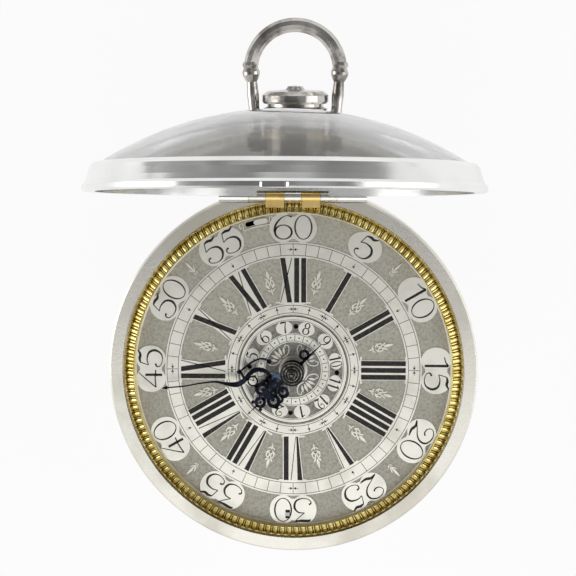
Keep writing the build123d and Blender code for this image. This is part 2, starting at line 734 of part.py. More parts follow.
front_plate = rod(FRONT_PLATE_R, FRONT_PLATE_Z, plate_top)
front_plate -= block(
    (-HINGE_HALF, HINGE_Y - KNUCKLE_R - 3.5, FRONT_PLATE_Z - 1), (HINGE_HALF, CASE_R, plate_top + 1)
)
back_plate = rod(BACK_PLATE_R, BACK_PLATE_Z, frame_low)
for at, radius in ((centre, 1.7), (fusee_at, 1.0), (barrel_at, 1.6), (ALARM_BARREL_AT, 1.2)):
    front_plate -= rod(radius + RUN, FRONT_PLATE_Z - 1, plate_top + 1, at)
for at in (third_at, contrate_at, HAMMER_AT):
    front_plate -= rod(PIVOT_R + RUN, FRONT_PLATE_Z - 1, plate_top + 1, at)
    back_plate -= rod(PIVOT_R + RUN, BACK_PLATE_Z - 1, frame_low + 1, at)
for at, radius in ((centre, 1.0), (fusee_at, 1.6), (barrel_at, 1.6), (ALARM_BARREL_AT, 1.2)):
    back_plate -= rod(radius + RUN, BACK_PLATE_Z - 1, frame_low + 1, at)
back_plate -= rod(1.4, BACK_PLATE_Z - 1, frame_low + 1, verge_at)
for turn in PILLAR_ANGLES:
    back_plate -= rod(1.1, BACK_PLATE_Z - 1, frame_low + 1, polar(PILLAR_PCR, turn))
save("front_plate", front_plate)
save("back_plate", back_plate)

pillar_h = FRONT_PLATE_Z - frame_low
pillar_foot = BACK_PLATE_Z - 1.0
pillar_profile = [
    (0, pillar_foot),
    (1.1, pillar_foot),
    (1.1, frame_low),
    (PILLAR_R, frame_low),
    (PILLAR_R, frame_low + 1.6),
    (1.7, frame_low + 2.4),
    (1.5, frame_low + pillar_h * 0.3),
    (2.5, frame_low + pillar_h * 0.5),
    (1.5, frame_low + pillar_h * 0.7),
    (1.7, FRONT_PLATE_Z - 2.4),
    (PILLAR_R, FRONT_PLATE_Z - 1.6),
    (PILLAR_R, FRONT_PLATE_Z),
    (0, FRONT_PLATE_Z),
]
pillar = turned(pillar_profile)
pillars = [Location((*polar(PILLAR_PCR, turn), 0)) * pillar for turn in PILLAR_ANGLES]
save("pillars", *pillars)

# Going train, in order from the barrel to the balance
barrel_low = frame_low + 1.4
barrel = tube(BARREL_R, 1.6 + RUN, barrel_low, barrel_low + BARREL_H, barrel_at)
barrel_waist = (barrel_low + BARREL_CAP, barrel_low + BARREL_H - BARREL_CAP)
barrel -= tube(BARREL_R + 1, BARREL_R - 0.5, *barrel_waist, barrel_at)
save("mainspring_barrel", barrel)
barrel_arbor = rod(1.6, BACK_PLATE_Z, plate_top + 1.6, barrel_at)
barrel_arbor += square_bar(WINDING_SQUARE, BACK_PLATE_Z - 2.8, BACK_PLATE_Z + 0.6, barrel_at)
save("barrel_arbor", barrel_arbor)

great_low = 33.0
fusee_high = great_low - 1.4
fusee_low = frame_low + 2.4
fusee_step = (fusee_high - fusee_low) / FUSEE_GROOVES
fusee_profile = [(1.5, fusee_low), (FUSEE_SMALL_R + 0.6, fusee_low)]
for k in range(FUSEE_GROOVES):
    share = (k + 0.5) / FUSEE_GROOVES
    reach = FUSEE_SMALL_R + (FUSEE_R - FUSEE_SMALL_R) * share**1.4
    fusee_profile.append((reach - 0.6, fusee_low + fusee_step * (k + 0.5)))
    fusee_profile.append((reach + 0.5, fusee_low + fusee_step * (k + 1)))
fusee_profile += [(FUSEE_R + 0.8, great_low), (1.5, great_low)]
save("fusee", Location((*fusee_at, 0)) * turned(fusee_profile))
great_wheel = wheel(GREAT_TEETH, GREAT_MODULE, FUSEE_ANGLE + 180, great_low, 1.4, 1.5, at=fusee_at)
save("great_wheel", great_wheel)
fusee_arbor = rod(1.5, frame_low + 0.2, FRONT_PLATE_Z - 0.2, fusee_at)
fusee_arbor += rod(1.0, FRONT_PLATE_Z - 0.2, plate_top, fusee_at)
fusee_arbor += rod(1.6, BACK_PLATE_Z, frame_low + 0.2, fusee_at)
fusee_arbor += square_bar(WINDING_SQUARE, BACK_PLATE_Z - 4.5, BACK_PLATE_Z, fusee_at)
save("fusee_arbor", fusee_arbor)

gap_angle = 180 / CENTRE_PINION_LEAVES
centre_low = FRONT_PLATE_Z - 2.2
centre_arbor = rod(0.95, BACK_PLATE_Z, frame_low + 0.2) + rod(1.5, frame_low + 0.2, FRONT_PLATE_Z - 0.3)
centre_arbor += rod(1.65, FRONT_PLATE_Z - 0.3, plate_top + 0.3)
centre_arbor += rod(CENTRE_POST_R, plate_top, MINUTE_HAND_Z - 1.2)
centre_arbor += pinion(
    CENTRE_PINION_LEAVES, GREAT_MODULE, FUSEE_ANGLE + gap_angle, great_low - 0.5, great_low + 1.9
)
save("centre_arbor", centre_arbor)
save("centre_wheel", wheel(CENTRE_TEETH, CENTRE_MODULE, THIRD_ANGLE, centre_low, WHEEL_T, 1.5))

third_low = 30.0
third_arbor = rod(PIVOT_R, BACK_PLATE_Z, plate_top, third_at)
third_arbor += rod(1.0, frame_low + 0.2, FRONT_PLATE_Z - 0.3, third_at)
third_arbor += pinion(
    THIRD_LEAVES, CENTRE_MODULE, THIRD_ANGLE + 180 + 180 / THIRD_LEAVES,
    centre_low - 0.5, FRONT_PLATE_Z - 0.4, third_at,
)
save("third_arbor", third_arbor)
save("third_wheel", wheel(THIRD_TEETH, THIRD_MODULE, CONTRATE_ANGLE, third_low, WHEEL_T, 1.0, at=third_at))

contrate_disc_z = 25.0
contrate_tip_z = CROWN_Z + CONTRATE_MESH
contrate_arbor = rod(PIVOT_R, BACK_PLATE_Z, plate_top, contrate_at)
contrate_arbor += rod(0.9, frame_low + 0.2, FRONT_PLATE_Z - 0.3, contrate_at)
contrate_arbor += pinion(
    CONTRATE_LEAVES, THIRD_MODULE, CONTRATE_ANGLE + 180 + 180 / CONTRATE_LEAVES,
    third_low - 0.5, third_low + WHEEL_T + 0.5, contrate_at,
)
save("contrate_arbor", contrate_arbor)
rim_half = 0.8
contrate = tube(contrate_r + rim_half, contrate_r - rim_half, contrate_disc_z - 0.6, contrate_disc_z + 1.0)
contrate += tube(2.4, 0.9, contrate_disc_z, contrate_disc_z + 1.0)
for k in range(4):
    arm = block((1.5, -0.6, contrate_disc_z), (contrate_r, 0.6, contrate_disc_z + 1.0))
    contrate += Rot(0, 0, 90 * k + 45) * arm
tooth = block(
    (contrate_r - rim_half, -CONTRATE_TOOTH_T / 2, contrate_tip_z),
    (contrate_r + rim_half, CONTRATE_TOOTH_T / 2, contrate_disc_z),
)
tooth_step = 360 / CONTRATE_TEETH
teeth = [Rot(0, 0, 180 + tooth_step * k) * tooth for k in range(CONTRATE_TEETH)]
contrate += teeth
contrate -= rod(0.9, contrate_disc_z - 3, contrate_disc_z + 3)
save("contrate_wheel", Location((*contrate_at, 0)) * contrate)


# Crown wheel and verge: the escapement, its pallets set clear of the saw teeth
def along_crown(shape):
    """Turns a shape drawn along Z onto the crown arbor, its front towards -X."""
    return Location((crown_face_x, contrate_at[1], CROWN_Z), (0, -90, 0)) * shape


crown_back = CROWN_TOOTH_L + 1.4
crown = tube(CROWN_R, CROWN_R - CROWN_RIM, -crown_back, -CROWN_TOOTH_L)
crown += tube(CROWN_R - 0.3, 0.8, -crown_back, -crown_back + 0.8)
saw_root = -CROWN_TOOTH_L - 0.01
saw_points = [(-0.9, saw_root), (0.9, saw_root), (0.9, 0), (0.65, 0)]
saw = extrude(Plane.XZ * make_face(Polyline(*saw_points, close=True)), -CROWN_RIM)
saw_step = 360 / CROWN_TEETH
for k in range(CROWN_TEETH):
    crown += Rot(0, 0, saw_step * k) * Location((0, CROWN_R - CROWN_RIM, 0)) * saw
crown &= rod(CROWN_R, -crown_back, 0)
save("crown_wheel", along_crown(crown))
pinion_back = crown_face_x - crown_pinion_x
crown_arbor = rod(0.8, pinion_back - 1.6, -0.1) + rod(0.4, pinion_back - 2.6, 0.9)
leaf = block(
    (0, -CROWN_LEAF_T / 2, pinion_back - 1.3),
    (CROWN_PINION_R + 0.3, CROWN_LEAF_T / 2, pinion_back + 1.3),
)
for k in range(CROWN_LEAVES):
    crown_arbor += Rot(0, 0, 360 * (k + 0.5) / CROWN_LEAVES) * leaf
save("crown_arbor", along_crown(crown_arbor))

verge_high = CROWN_Z + CROWN_R + 1.6
verge = rod(0.6, BALANCE_Z - 1.0, verge_high, verge_at)
verge += rod(VERGE_PIVOT_R, COCK_Z + 0.3, verge_high + 1.0, verge_at)
for z, turn in ((CROWN_Z - CROWN_R + 0.4, -50), (CROWN_Z + CROWN_R - 1.8, 50)):
    pallet = block((0, -0.25, z), (1.9, 0.25, z + 1.4))
    verge += Location((*verge_at, 0), (0, 0, turn)) * pallet
save("verge", verge)
balance = tube(BALANCE_R, BALANCE_R - 1.5, BALANCE_Z, BALANCE_Z + 1.2)
balance += tube(2.2, 0.6, BALANCE_Z, BALANCE_Z + 1.2)
for k in range(3):
    arm = block((1.4, -0.55, BALANCE_Z + 0.2), (BALANCE_R - 1, 0.55, BALANCE_Z + 1.0))
    balance += Rot(0, 0, 120 * k + 20) * arm
balance -= rod(0.6, BALANCE_Z - 1, BALANCE_Z + 3)
save("balance_wheel", Location((*verge_at, 0)) * balance)

# Potence and counter potence, which carry the verge foot and the crown arbor
axis_y = contrate_at[1]
side_y = axis_y - CROWN_R - 0.6
back_y = side_y - 3.0
arm_low_z = verge_high + 0.1
potence_top = verge_high + 1.2
potence = block((verge_x - 1.6, back_y, frame_low), (crown_face_x + 2.4, side_y, potence_top))
potence += block((verge_x - 1.6, back_y, arm_low_z), (verge_x + 1.6, axis_y + 1.6, potence_top))
potence += block(
    (crown_face_x - 1.3, back_y, CROWN_Z - 0.9), (crown_face_x - 0.3, axis_y + 0.9, CROWN_Z + 0.9)
)
potence -= rod(VERGE_PIVOT_R + RUN, verge_high - 1, verge_high + 3, verge_at)
crown_bore = along_crown(rod(0.4 + RUN, -30, 1.1))
potence -= crown_bore
save("potence", potence)
counter_x = crown_pinion_x + 1.9
counter = block((counter_x, axis_y - 2.2, frame_low), (counter_x + 1.5, axis_y + 2.2, CROWN_Z + 1.8))
save("counter_potence", counter - crown_bore)

# Balance cock, pierced, with its foot on the back plate
cock_high = COCK_Z + COCK_T
cock_sketch = Circle(COCK_R)
for k in range(6):
    cock_sketch -= Rot(0, 0, 60 * k) * Location((COCK_R * 0.54, 0, 0)) * Ellipse(2.0, 1.7)
    cock_sketch -= Rot(0, 0, 60 * k + 30) * Location((COCK_R * 0.8, 0, 0)) * Circle(0.8)
cock_sketch -= Circle(VERGE_PIVOT_R + RUN)
cock_sketch += Rot(0, 0, COCK_ANGLE) * Location((COCK_R + 2.5, 0, 0)) * Rectangle(7.0, 6.0)
foot_plan = Location((COCK_FOOT_R, 0, 0)) * RectangleRounded(6.0, 15.0, 2.0)
cock_foot_shape = Rot(0, 0, COCK_ANGLE) * foot_plan
cock_sketch += cock_foot_shape
cock = Location((*verge_at, 0)) * plate(cock_sketch, COCK_Z, cock_high)
cock += Location((*verge_at, 0)) * plate(cock_foot_shape, cock_high, BACK_PLATE_Z)
cock -= rod(1.2, COCK_Z - 1, BACK_PLATE_Z + 1, cock_foot)
save("balance_cock", cock)
cock_screw = rod(1.2, COCK_Z + 0.2, BACK_PLATE_Z, cock_foot) + rod(1.9, COCK_Z - 0.9, COCK_Z, cock_foot)
cock_screw += rod(1.2, COCK_Z - 0.1, COCK_Z + 0.3, cock_foot)
save("cock_screw", cock_screw)

# Balance spring: a flat spiral of two and a half turns under the balance
spring_points = []
for k in range(31):
    spring_points.append(polar(2.6 + 0.12 * k, 30 * k))
spring_line = Spline(*spring_points)
spring_band = sweep(
    Plane(origin=spring_line @ 0, z_dir=spring_line % 0) * Rectangle(0.3, 0.3), path=spring_line
)
save("balance_spring", Location((*verge_at, BALANCE_Z + 2.0)) * spring_band)

# Regulation disc with its square
regulator = rod(REGULATOR_R, BACK_PLATE_Z - 1.0, BACK_PLATE_Z, REGULATOR_AT)
regulator += square_bar(SETTING_SQUARE - 0.2, BACK_PLATE_Z - 2.8, BACK_PLATE_Z - 0.8, REGULATOR_AT)
save("regulator_disc", regulator)

# Motion work: cannon pinion, minute wheel and hour wheel
cannon_low = plate_top + 0.8
cannon = pinion(CANNON_LEAVES, MINUTE_WHEEL_MODULE, MOTION_ANGLE, cannon_low, cannon_low + 1.8)
cannon += rod(CANNON_PIPE_R, cannon_low, MINUTE_HAND_Z)
cannon += rod(CANNON_END_R, MINUTE_HAND_Z, MINUTE_HAND_Z + HAND_T)
cannon -= rod(CENTRE_POST_R + RUN, plate_top, MINUTE_HAND_Z - 1.0)
save("cannon_pinion", cannon)
minute_low = cannon_low + 0.3
minute_wheel = wheel(
    MINUTE_WHEEL_TEETH, MINUTE_WHEEL_MODULE, MOTION_ANGLE + 180 + 180 / MINUTE_WHEEL_TEETH,
    minute_low, 1.1, 0.8, spokes=3, rim=1.6, hub=2.4, at=motion_at,
)
minute_wheel += pinion(
    MINUTE_PINION_LEAVES, HOUR_WHEEL_MODULE, MOTION_ANGLE + 180,
    minute_low + 1.0, minute_low + 3.2, motion_at,
)
minute_wheel -= rod(0.8, plate_top, dial_low, motion_at)
save("minute_wheel", minute_wheel)
save("minute_wheel_stud", rod(0.8 - RUN, plate_top, dial_low - 0.1, motion_at))
hour_low = cannon_low + 2.3
hour_wheel = wheel(
    HOUR_WHEEL_TEETH, HOUR_WHEEL_MODULE, MOTION_ANGLE + 180 / HOUR_WHEEL_TEETH,
    hour_low, 1.1, CANNON_PIPE_R + RUN, spokes=4, rim=1.6, hub=3.6,
)
hour_wheel += tube(HOUR_PIPE_R, CANNON_PIPE_R + RUN, hour_low, HOUR_HAND_Z + HAND_T + 0.4)
save("hour_wheel", hour_wheel)


# Hands, drawn pointing along +Y and turned to the time
def band(x, y, radius, start, sweep_deg, width):
    """A scroll: part of a ring with round ends."""
    return SlotArc(CenterArc((x, y), radius, start, sweep_deg), width)


hour_sketch = Circle(HAND_HUB_R) + Location((0, 6.0, 0)) * Rectangle(1.3, 6.0)
for side in (-1, 1):
    hour_sketch += Location((side * 2.9, 9.0, 0)) * (Circle(2.5) - Circle(1.5))
    hour_sketch += Location((side * 1.3, 12.4, 0)) * (Circle(1.5) - Circle(0.75))
    hour_sketch += Location((side * 5.2, 9.2, 0)) * Circle(0.6)
hour_tip = [(-1.1, 12.6), (1.1, 12.6), (0.12, HOUR_HAND_L), (-0.12, HOUR_HAND_L)]
hour_tail = [(-0.5, 0), (0.5, 0), (0.15, -HOUR_TAIL_L), (-0.15, -HOUR_TAIL_L)]
for taper in (hour_tip, hour_tail):
    hour_sketch += make_face(Polyline(*taper, close=True))
hour_sketch += Location((0, -8.2, 0)) * Circle(1.15)
hour_sketch -= Circle(HOUR_PIPE_R)
hour_hand = Rot(0, 0, -HOUR_ANGLE) * plate(hour_sketch, HOUR_HAND_Z, HOUR_HAND_Z + HAND_T)
save("hour_hand", hour_hand)

minute_sketch = Circle(HAND_HUB_R) + Location((0, 5.2, 0)) * Rectangle(1.5, 5.0)
minute_sketch += band(0.9, 8.9, 1.7, -150, 250, 1.1)
minute_sketch += band(-1.0, 12.6, 2.6, -85, 190, 1.2)
minute_sketch += band(-0.6, 18.4, 3.2, 60, 215, 1.2)
minute_blade = [
    (-0.1, 20.6),
    (1.5, 20.9),
    (0.75, 23.4),
    (0.32, 26.0),
    (0.1, MINUTE_HAND_L),
    (-0.1, MINUTE_HAND_L),
    (-0.3, 26.0),
]
minute_sketch += make_face(Polyline(*minute_blade, close=True))
minute_sketch += Location((0, 38.4, 0)) * Circle(0.55)
minute_sketch -= Circle(CANNON_END_R)
minute_hand = Rot(0, 0, -MINUTE_ANGLE) * plate(minute_sketch, MINUTE_HAND_Z, MINUTE_HAND_Z + HAND_T)
save("minute_hand", minute_hand)
boss_low = MINUTE_HAND_Z + HAND_T
boss_points = [
    (0, boss_low),
    (HAND_HUB_R, boss_low),
    (HAND_HUB_R, boss_low + 0.9),
    (HAND_HUB_R - 0.7, boss_low + 1.2),
    (HAND_HUB_R - 1.4, boss_low + 1.3),
    (HAND_HUB_R - 1.9, BOSS_TOP_Z - 2.2),
    (0, BOSS_TOP_Z - 2.2),
]
set_square = square_bar(SETTING_SQUARE, BOSS_TOP_Z - 2.2, BOSS_TOP_Z)
save("hand_boss", turned(boss_points) + set_square)

# Alarm disc on the hour pipe, with its four setting holes
alarm_low = DIAL_TOP_Z - ALARM_DISC_T
alarm_disc = tube(ALARM_DISC_R, HOUR_PIPE_R + RUN, alarm_low, DIAL_TOP_Z)
alarm_disc += tube(4.0, HOUR_PIPE_R + RUN, hour_low + 1.2, alarm_low)
alarm_ground = DIAL_TOP_Z - ALARM_SUNK
alarm_disc -= tube(*ALARM_ZONE, alarm_ground, DIAL_TOP_Z + 1)
alarm_disc -= tube(ALARM_CENTRE_R, HAND_HUB_R + 0.8, alarm_ground, DIAL_TOP_Z + 1)
alarm_mid = (ALARM_ZONE[0] + ALARM_ZONE[1]) / 2
alarm_half = (ALARM_ZONE[0] - ALARM_ZONE[1]) / 2 + 0.1
for k in range(12):
    lobe = Location((0, alarm_mid, 0)) * Ellipse(ALARM_LOBE, alarm_half)
    turn = Rot(0, 0, -30 * k + ALARM_FIRST)
    alarm_disc += turn * plate(lobe, alarm_ground, DIAL_TOP_Z)
for k in range(4):
    hole_at = clock(ALARM_HOLE_PCR, ALARM_DISC_TURN + 90 * k)
    alarm_disc -= rod(0.8, alarm_low - 1, DIAL_TOP_Z + 1, hole_at)
save("alarm_disc", alarm_disc)

# Alarm barrel and bell hammer
alarm_barrel = tube(ALARM_BARREL_R, 1.2 + RUN, frame_low + 4, frame_low + 16, ALARM_BARREL_AT)
save("alarm_barrel", alarm_barrel)
save("alarm_barrel_arbor", rod(1.2, BACK_PLATE_Z - 3, plate_top + 0.5, ALARM_BARREL_AT))
head_at = (HAMMER_AT[0] + HAMMER_ARM[0], HAMMER_AT[1] + HAMMER_ARM[1])
arm_turn = math.degrees(math.atan2(HAMMER_ARM[1], HAMMER_ARM[0]))
arm_l = math.hypot(*HAMMER_ARM)
hammer = rod(1.0, frame_low + 0.2, FRONT_PLATE_Z - 0.3, HAMMER_AT)
hammer += rod(PIVOT_R, BACK_PLATE_Z, plate_top, HAMMER_AT)
hammer_bar = block((0, -0.6, HAMMER_Z), (arm_l, 0.6, HAMMER_Z + 1.6))
hammer += Location((*HAMMER_AT, 0), (0, 0, arm_turn)) * hammer_bar
hammer += rod(2.2, HAMMER_Z - 1.5, HAMMER_Z + 3.5, head_at)
save("alarm_hammer", hammer)
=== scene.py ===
import math

import bmesh
import bpy
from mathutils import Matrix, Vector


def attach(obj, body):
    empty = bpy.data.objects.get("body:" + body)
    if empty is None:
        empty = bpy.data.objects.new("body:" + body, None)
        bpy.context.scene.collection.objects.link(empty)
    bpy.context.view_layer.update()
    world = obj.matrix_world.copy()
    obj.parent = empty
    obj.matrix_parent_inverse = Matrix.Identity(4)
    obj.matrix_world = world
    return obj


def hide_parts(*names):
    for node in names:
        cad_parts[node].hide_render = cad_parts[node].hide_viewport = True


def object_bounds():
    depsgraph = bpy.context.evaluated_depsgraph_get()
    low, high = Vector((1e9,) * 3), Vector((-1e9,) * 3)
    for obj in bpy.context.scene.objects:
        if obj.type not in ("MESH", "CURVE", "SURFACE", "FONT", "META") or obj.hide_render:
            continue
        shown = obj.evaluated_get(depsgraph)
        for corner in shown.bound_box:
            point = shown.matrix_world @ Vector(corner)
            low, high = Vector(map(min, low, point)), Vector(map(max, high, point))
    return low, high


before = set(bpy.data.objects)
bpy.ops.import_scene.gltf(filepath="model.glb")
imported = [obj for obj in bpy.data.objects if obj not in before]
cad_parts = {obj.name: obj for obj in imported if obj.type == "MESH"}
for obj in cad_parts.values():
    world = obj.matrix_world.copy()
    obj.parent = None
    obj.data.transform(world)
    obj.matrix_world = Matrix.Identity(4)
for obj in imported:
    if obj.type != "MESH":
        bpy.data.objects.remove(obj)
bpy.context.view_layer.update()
MM = 0.001


# Case
# The real case is raised and turned in silver: a bowl for the back, a pierced sound band and a
# heavy rim with a ledge, soldered one on the other. Three hinge knuckles are soldered in its rim.
class Value:
    """One output of a node, so that shader maths reads as plain sums."""

    def __init__(self, nodes, socket):
        self.nodes = nodes
        self.socket = socket

    def sum_of(self, operation, first, second):
        return self.nodes.add("ShaderNodeMath", {"operation": operation}, {0: first, 1: second})

    def __add__(self, other):
        return self.sum_of("ADD", self, other)

    def __radd__(self, other):
        return self.sum_of("ADD", other, self)

    def __sub__(self, other):
        return self.sum_of("SUBTRACT", self, other)

    def __rsub__(self, other):
        return self.sum_of("SUBTRACT", other, self)

    def __mul__(self, other):
        return self.sum_of("MULTIPLY", self, other)

    def __rmul__(self, other):
        return self.sum_of("MULTIPLY", other, self)

    def __pow__(self, other):
        return self.sum_of("POWER", self, other)


class Nodes:
    """The nodes of one material or of the room round the clock."""

    def __init__(self, owner):
        owner.use_nodes = True
        self.tree = owner.node_tree

    def feed(self, socket, value):
        if isinstance(value, Value):
            self.tree.links.new(value.socket, socket)
        elif isinstance(value, tuple) and len(value) == 3 and socket.type == "RGBA":
            socket.default_value = (*value, 1.0)
        else:
            socket.default_value = value

    def add(self, kind, settings, sockets, output=0):
        """A new node of this type, with its settings first and then its input sockets."""
        node = self.tree.nodes.new(kind)
        for name, value in settings.items():
            setattr(node, name, value)
        for name, value in sockets.items():
            self.feed(node.inputs[name], value)
        return Value(self, node.outputs[output])


class Shader(Nodes):
    """A material with its Principled shader; constants are set on the shader's own sockets."""

    def __init__(self, name, constants):
        self.material = bpy.data.materials.new(name)
        super().__init__(self.material)
        self.surface = self.tree.nodes["Principled BSDF"]
        self.set(constants)

    def set(self, sockets):
        for name, value in sockets.items():
            self.feed(self.surface.inputs[name], value)

    def place(self):
        """Where a point of the surface is on the object, in metres."""
        return self.add("ShaderNodeTexCoord", {}, {}, "Object")

    def axes(self):
        at = self.place()
        return [self.add("ShaderNodeSeparateXYZ", {}, {0: at}, axis) for axis in "XYZ"]

    def noise(self, size, detail=3.0, at=None):
        """Soft cloudy variation whose blots are about this many millimetres across."""
        sockets = {"Vector": at or self.place(), "Scale": 1 / (size * MM), "Detail": detail}
        return self.add("ShaderNodeTexNoise", {}, sockets)

    def step(self, value, low, high):
        """0 below low, 1 above high, and a smooth change between them."""
        settings = {"interpolation_type": "SMOOTHSTEP"}
        sockets = {"Value": value, "From Min": low, "From Max": high}
        return self.add("ShaderNodeMapRange", settings, sockets)

    def blend(self, mask, low, high):
        """The low colour where the mask is 0, and the high one where it is 1."""
        sockets = {0: mask, 6: low, 7: high}
        return self.add("ShaderNodeMix", {"data_type": "RGBA"}, sockets, 2)

    def bump(self, height, depth):
        """Relief of this many millimetres."""
        relief = self.add("ShaderNodeBump", {}, {"Height": height, "Distance": depth * MM, "Strength": 1.0})
        self.set({"Normal": relief})


def dress(shader, *nodes):
    """Gives CAD nodes this finish."""
    for node in nodes:
        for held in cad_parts[node].material_slots:
            held.material = shader.material


def silver(name, bright, dull, roughness, patch, scratch=0.012):
    """Old silver: soft patches of bloom, and fine marks from years of wiping."""
    shader = Shader(name, {"Metallic": 1.0})
    darkening = shader.step(shader.noise(patch, 5.0), 0.40, 0.68)
    wiped = shader.noise(1.1, 5.0)
    shader.set({"Base Color": shader.blend(darkening, bright, dull)})
    shader.set({"Roughness": roughness + wiped * 0.1 + darkening * 0.08})
    shader.bump(wiped, scratch)
    return shader


CASE_BRIGHT = (0.79, 0.77, 0.70)
CASE_DULL = (0.64, 0.61, 0.53)
case_silver = silver("case silver", CASE_BRIGHT, CASE_DULL, 0.22, patch=22.0)
dress(case_silver, "case_body", "case_band", "case_rim", "case_knuckles")


# Pendant and bow
# The pendant is a turned silver drum with a neck and a collar, soldered to the case, and the bow is
# a cast stirrup that two screws hold in its sides. Handling has left both darker than the case.
PENDANT_BRIGHT = (0.58, 0.56, 0.53)
PENDANT_DULL = (0.22, 0.20, 0.18)
pendant_silver = silver("pendant silver", PENDANT_BRIGHT, PENDANT_DULL, 0.13, patch=6.0, scratch=0.004)
dress(pendant_silver, "pendant", "bow", "bow_screws")


# Bell and its fittings
# A cast bell of high-tin bronze fills the back of the case. A steel stud and a nut hold it at its
# middle, and the hammer strikes it from within.
def worked_metal(name, bright, dull, roughness, grain=0.5, depth=0.01):
    """Filed and grained metal, a little darker where oil and air have been at it."""
    shader = Shader(name, {"Metallic": 1.0})
    stain = shader.step(shader.noise(6.0, 5.0), 0.45, 0.7)
    file_marks = shader.noise(grain, 3.0)
    shader.set({"Base Color": shader.blend(stain, bright, dull)})
    shader.set({"Roughness": roughness + file_marks * 0.15})
    shader.bump(file_marks, depth)
    return shader


BRONZE = (0.72, 0.55, 0.30)
BRONZE_DARK = (0.50, 0.36, 0.18)
STEEL = (0.50, 0.50, 0.51)
STEEL_DARK = (0.36, 0.35, 0.35)
bell_metal = worked_metal("bell metal", BRONZE, BRONZE_DARK, 0.3, grain=1.2, depth=0.03)
steel = worked_metal("polished steel", STEEL, STEEL_DARK, 0.24)
dress(bell_metal, "bell")
dress(steel, "bell_stud", "bell_nut", "alarm_hammer", "hinge_pin")


# Movement
# The plates, pillars and wheels are brass, most of it fire gilt. The arbors, pinions and springs
# are steel, and the pierced balance cock stands over the balance on the back plate.
GILDING = (0.88, 0.66, 0.27)
GILDING_THIN = (0.70, 0.47, 0.16)
BRASS = (0.78, 0.60, 0.30)
BRASS_DARK = (0.60, 0.43, 0.19)
gilt = worked_metal("fire gilding", GILDING, GILDING_THIN, 0.28, grain=0.6, depth=0.015)
brass = worked_metal("wheel brass", BRASS, BRASS_DARK, 0.26)
dress(gilt, "movement_knuckles", "back_plate", "pillars")
dress(gilt, "potence", "counter_potence", "balance_cock", "latch_keeper", "alarm_barrel")
dress(brass, "fusee", "great_wheel", "mainspring_barrel", "centre_wheel", "third_wheel")
dress(brass, "contrate_wheel", "crown_wheel", "balance_wheel", "minute_wheel", "hour_wheel")
dress(steel, "fusee_arbor", "barrel_arbor", "centre_arbor", "third_arbor", "contrate_arbor")
dress(steel, "crown_arbor", "verge", "balance_spring", "cannon_pinion", "minute_wheel_stud")
dress(steel, "alarm_barrel_arbor", "cock_screw", "movement_latch")

regulator_silver = silver("regulator silver", (0.84, 0.82, 0.74), (0.66, 0.63, 0.55), 0.3, patch=4.0)
dress(regulator_silver, "regulator_disc")

# Painted shade: the gilding under the slot of the alarm slider is painted black, so that the slot looks
# dark
SLOT_SHADE = (0.012, 0.010, 0.008)
SLOT_SHADE_X = -12.0
SLOT_SHADE_Y = 48.2
SLOT_SHADE_R = 5.0
SLOT_SHADE_EDGE_R = 6.5
shadowed = Shader("oiled gilding", {"Metallic": 1.0})
x, y = shadowed.axes()[:2]
across = x - SLOT_SHADE_X * MM
along = y - SLOT_SHADE_Y * MM
# This mask is the painted shade: black round the point under the slot, fading out at its edge
oil = 1 - shadowed.step((across * across + along * along) ** 0.5, SLOT_SHADE_R * MM, SLOT_SHADE_EDGE_R * MM)
thin_gold = shadowed.step(shadowed.noise(6.0, 5.0), 0.45, 0.7)
gold = shadowed.blend(thin_gold, GILDING, GILDING_THIN)
shadowed.set({"Base Color": shadowed.blend(oil, gold, SLOT_SHADE)})
shadowed.set({"Roughness": 0.32 + oil * 0.3})
shadowed.bump(shadowed.noise(0.6), 0.015)
dress(shadowed, "brass_edge", "front_plate")


# Lid
# The lid is a turned silver bezel with a thumb lip, polished brighter than the case, and a thick
# domed glass that is sprung into the bezel's groove. It swings on the case's hinge pin.
BEZEL_BRIGHT = (0.88, 0.88, 0.87)
BEZEL_DULL = (0.80, 0.80, 0.79)
bezel_silver = silver("bezel silver", BEZEL_BRIGHT, BEZEL_DULL, 0.1, patch=24.0, scratch=0.006)
dress(bezel_silver, "bezel", "bezel_knuckles")

# Wiping has left smears on the glass that are drawn out from side to side
GLASS_CLEAR = (0.78, 0.79, 0.79)
GLASS_SMEARED = (0.62, 0.62, 0.62)
SMEAR_DRAW = (0.35, 1.0, 2.2)
crystal = Shader("old glass", {"Transmission Weight": 1.0, "IOR": 1.5})
drawn = crystal.add("ShaderNodeMapping", {}, {"Vector": crystal.place(), "Scale": SMEAR_DRAW})
smear = crystal.step(crystal.noise(15.0, 5.0, drawn), 0.38, 0.66)

# Painted shade: the glass is painted grey from the edge that faces up, and the shade stops at a bent front.
# It is measured square to the lid, which stands open by more than a right angle.
GLASS_SHADE = (0.36, 0.355, 0.34)
LID_OPEN = math.radians(96.0)
SHADE_LOW = 70.0
SHADE_HIGH = 74.5
SHADE_BEND = 9.1
x, y, z = crystal.axes()
height = y * math.sin(LID_OPEN) + z * math.cos(LID_OPEN)
front = height + x * x * SHADE_BEND + smear * (3.0 * MM)
# This mask is the painted shade on the glass, varied by the smears
darkening = (1 - crystal.step(front, SHADE_LOW * MM, SHADE_HIGH * MM)) * (0.75 + smear * 0.25)
clean = crystal.blend(smear, GLASS_SMEARED, GLASS_CLEAR)
crystal.set({"Base Color": crystal.blend(darkening, clean, GLASS_SHADE)})
crystal.set({"Roughness": smear * 0.05})
crystal.bump(crystal.noise(9.0, 2.0), 0.03)
dress(crystal, "glass")


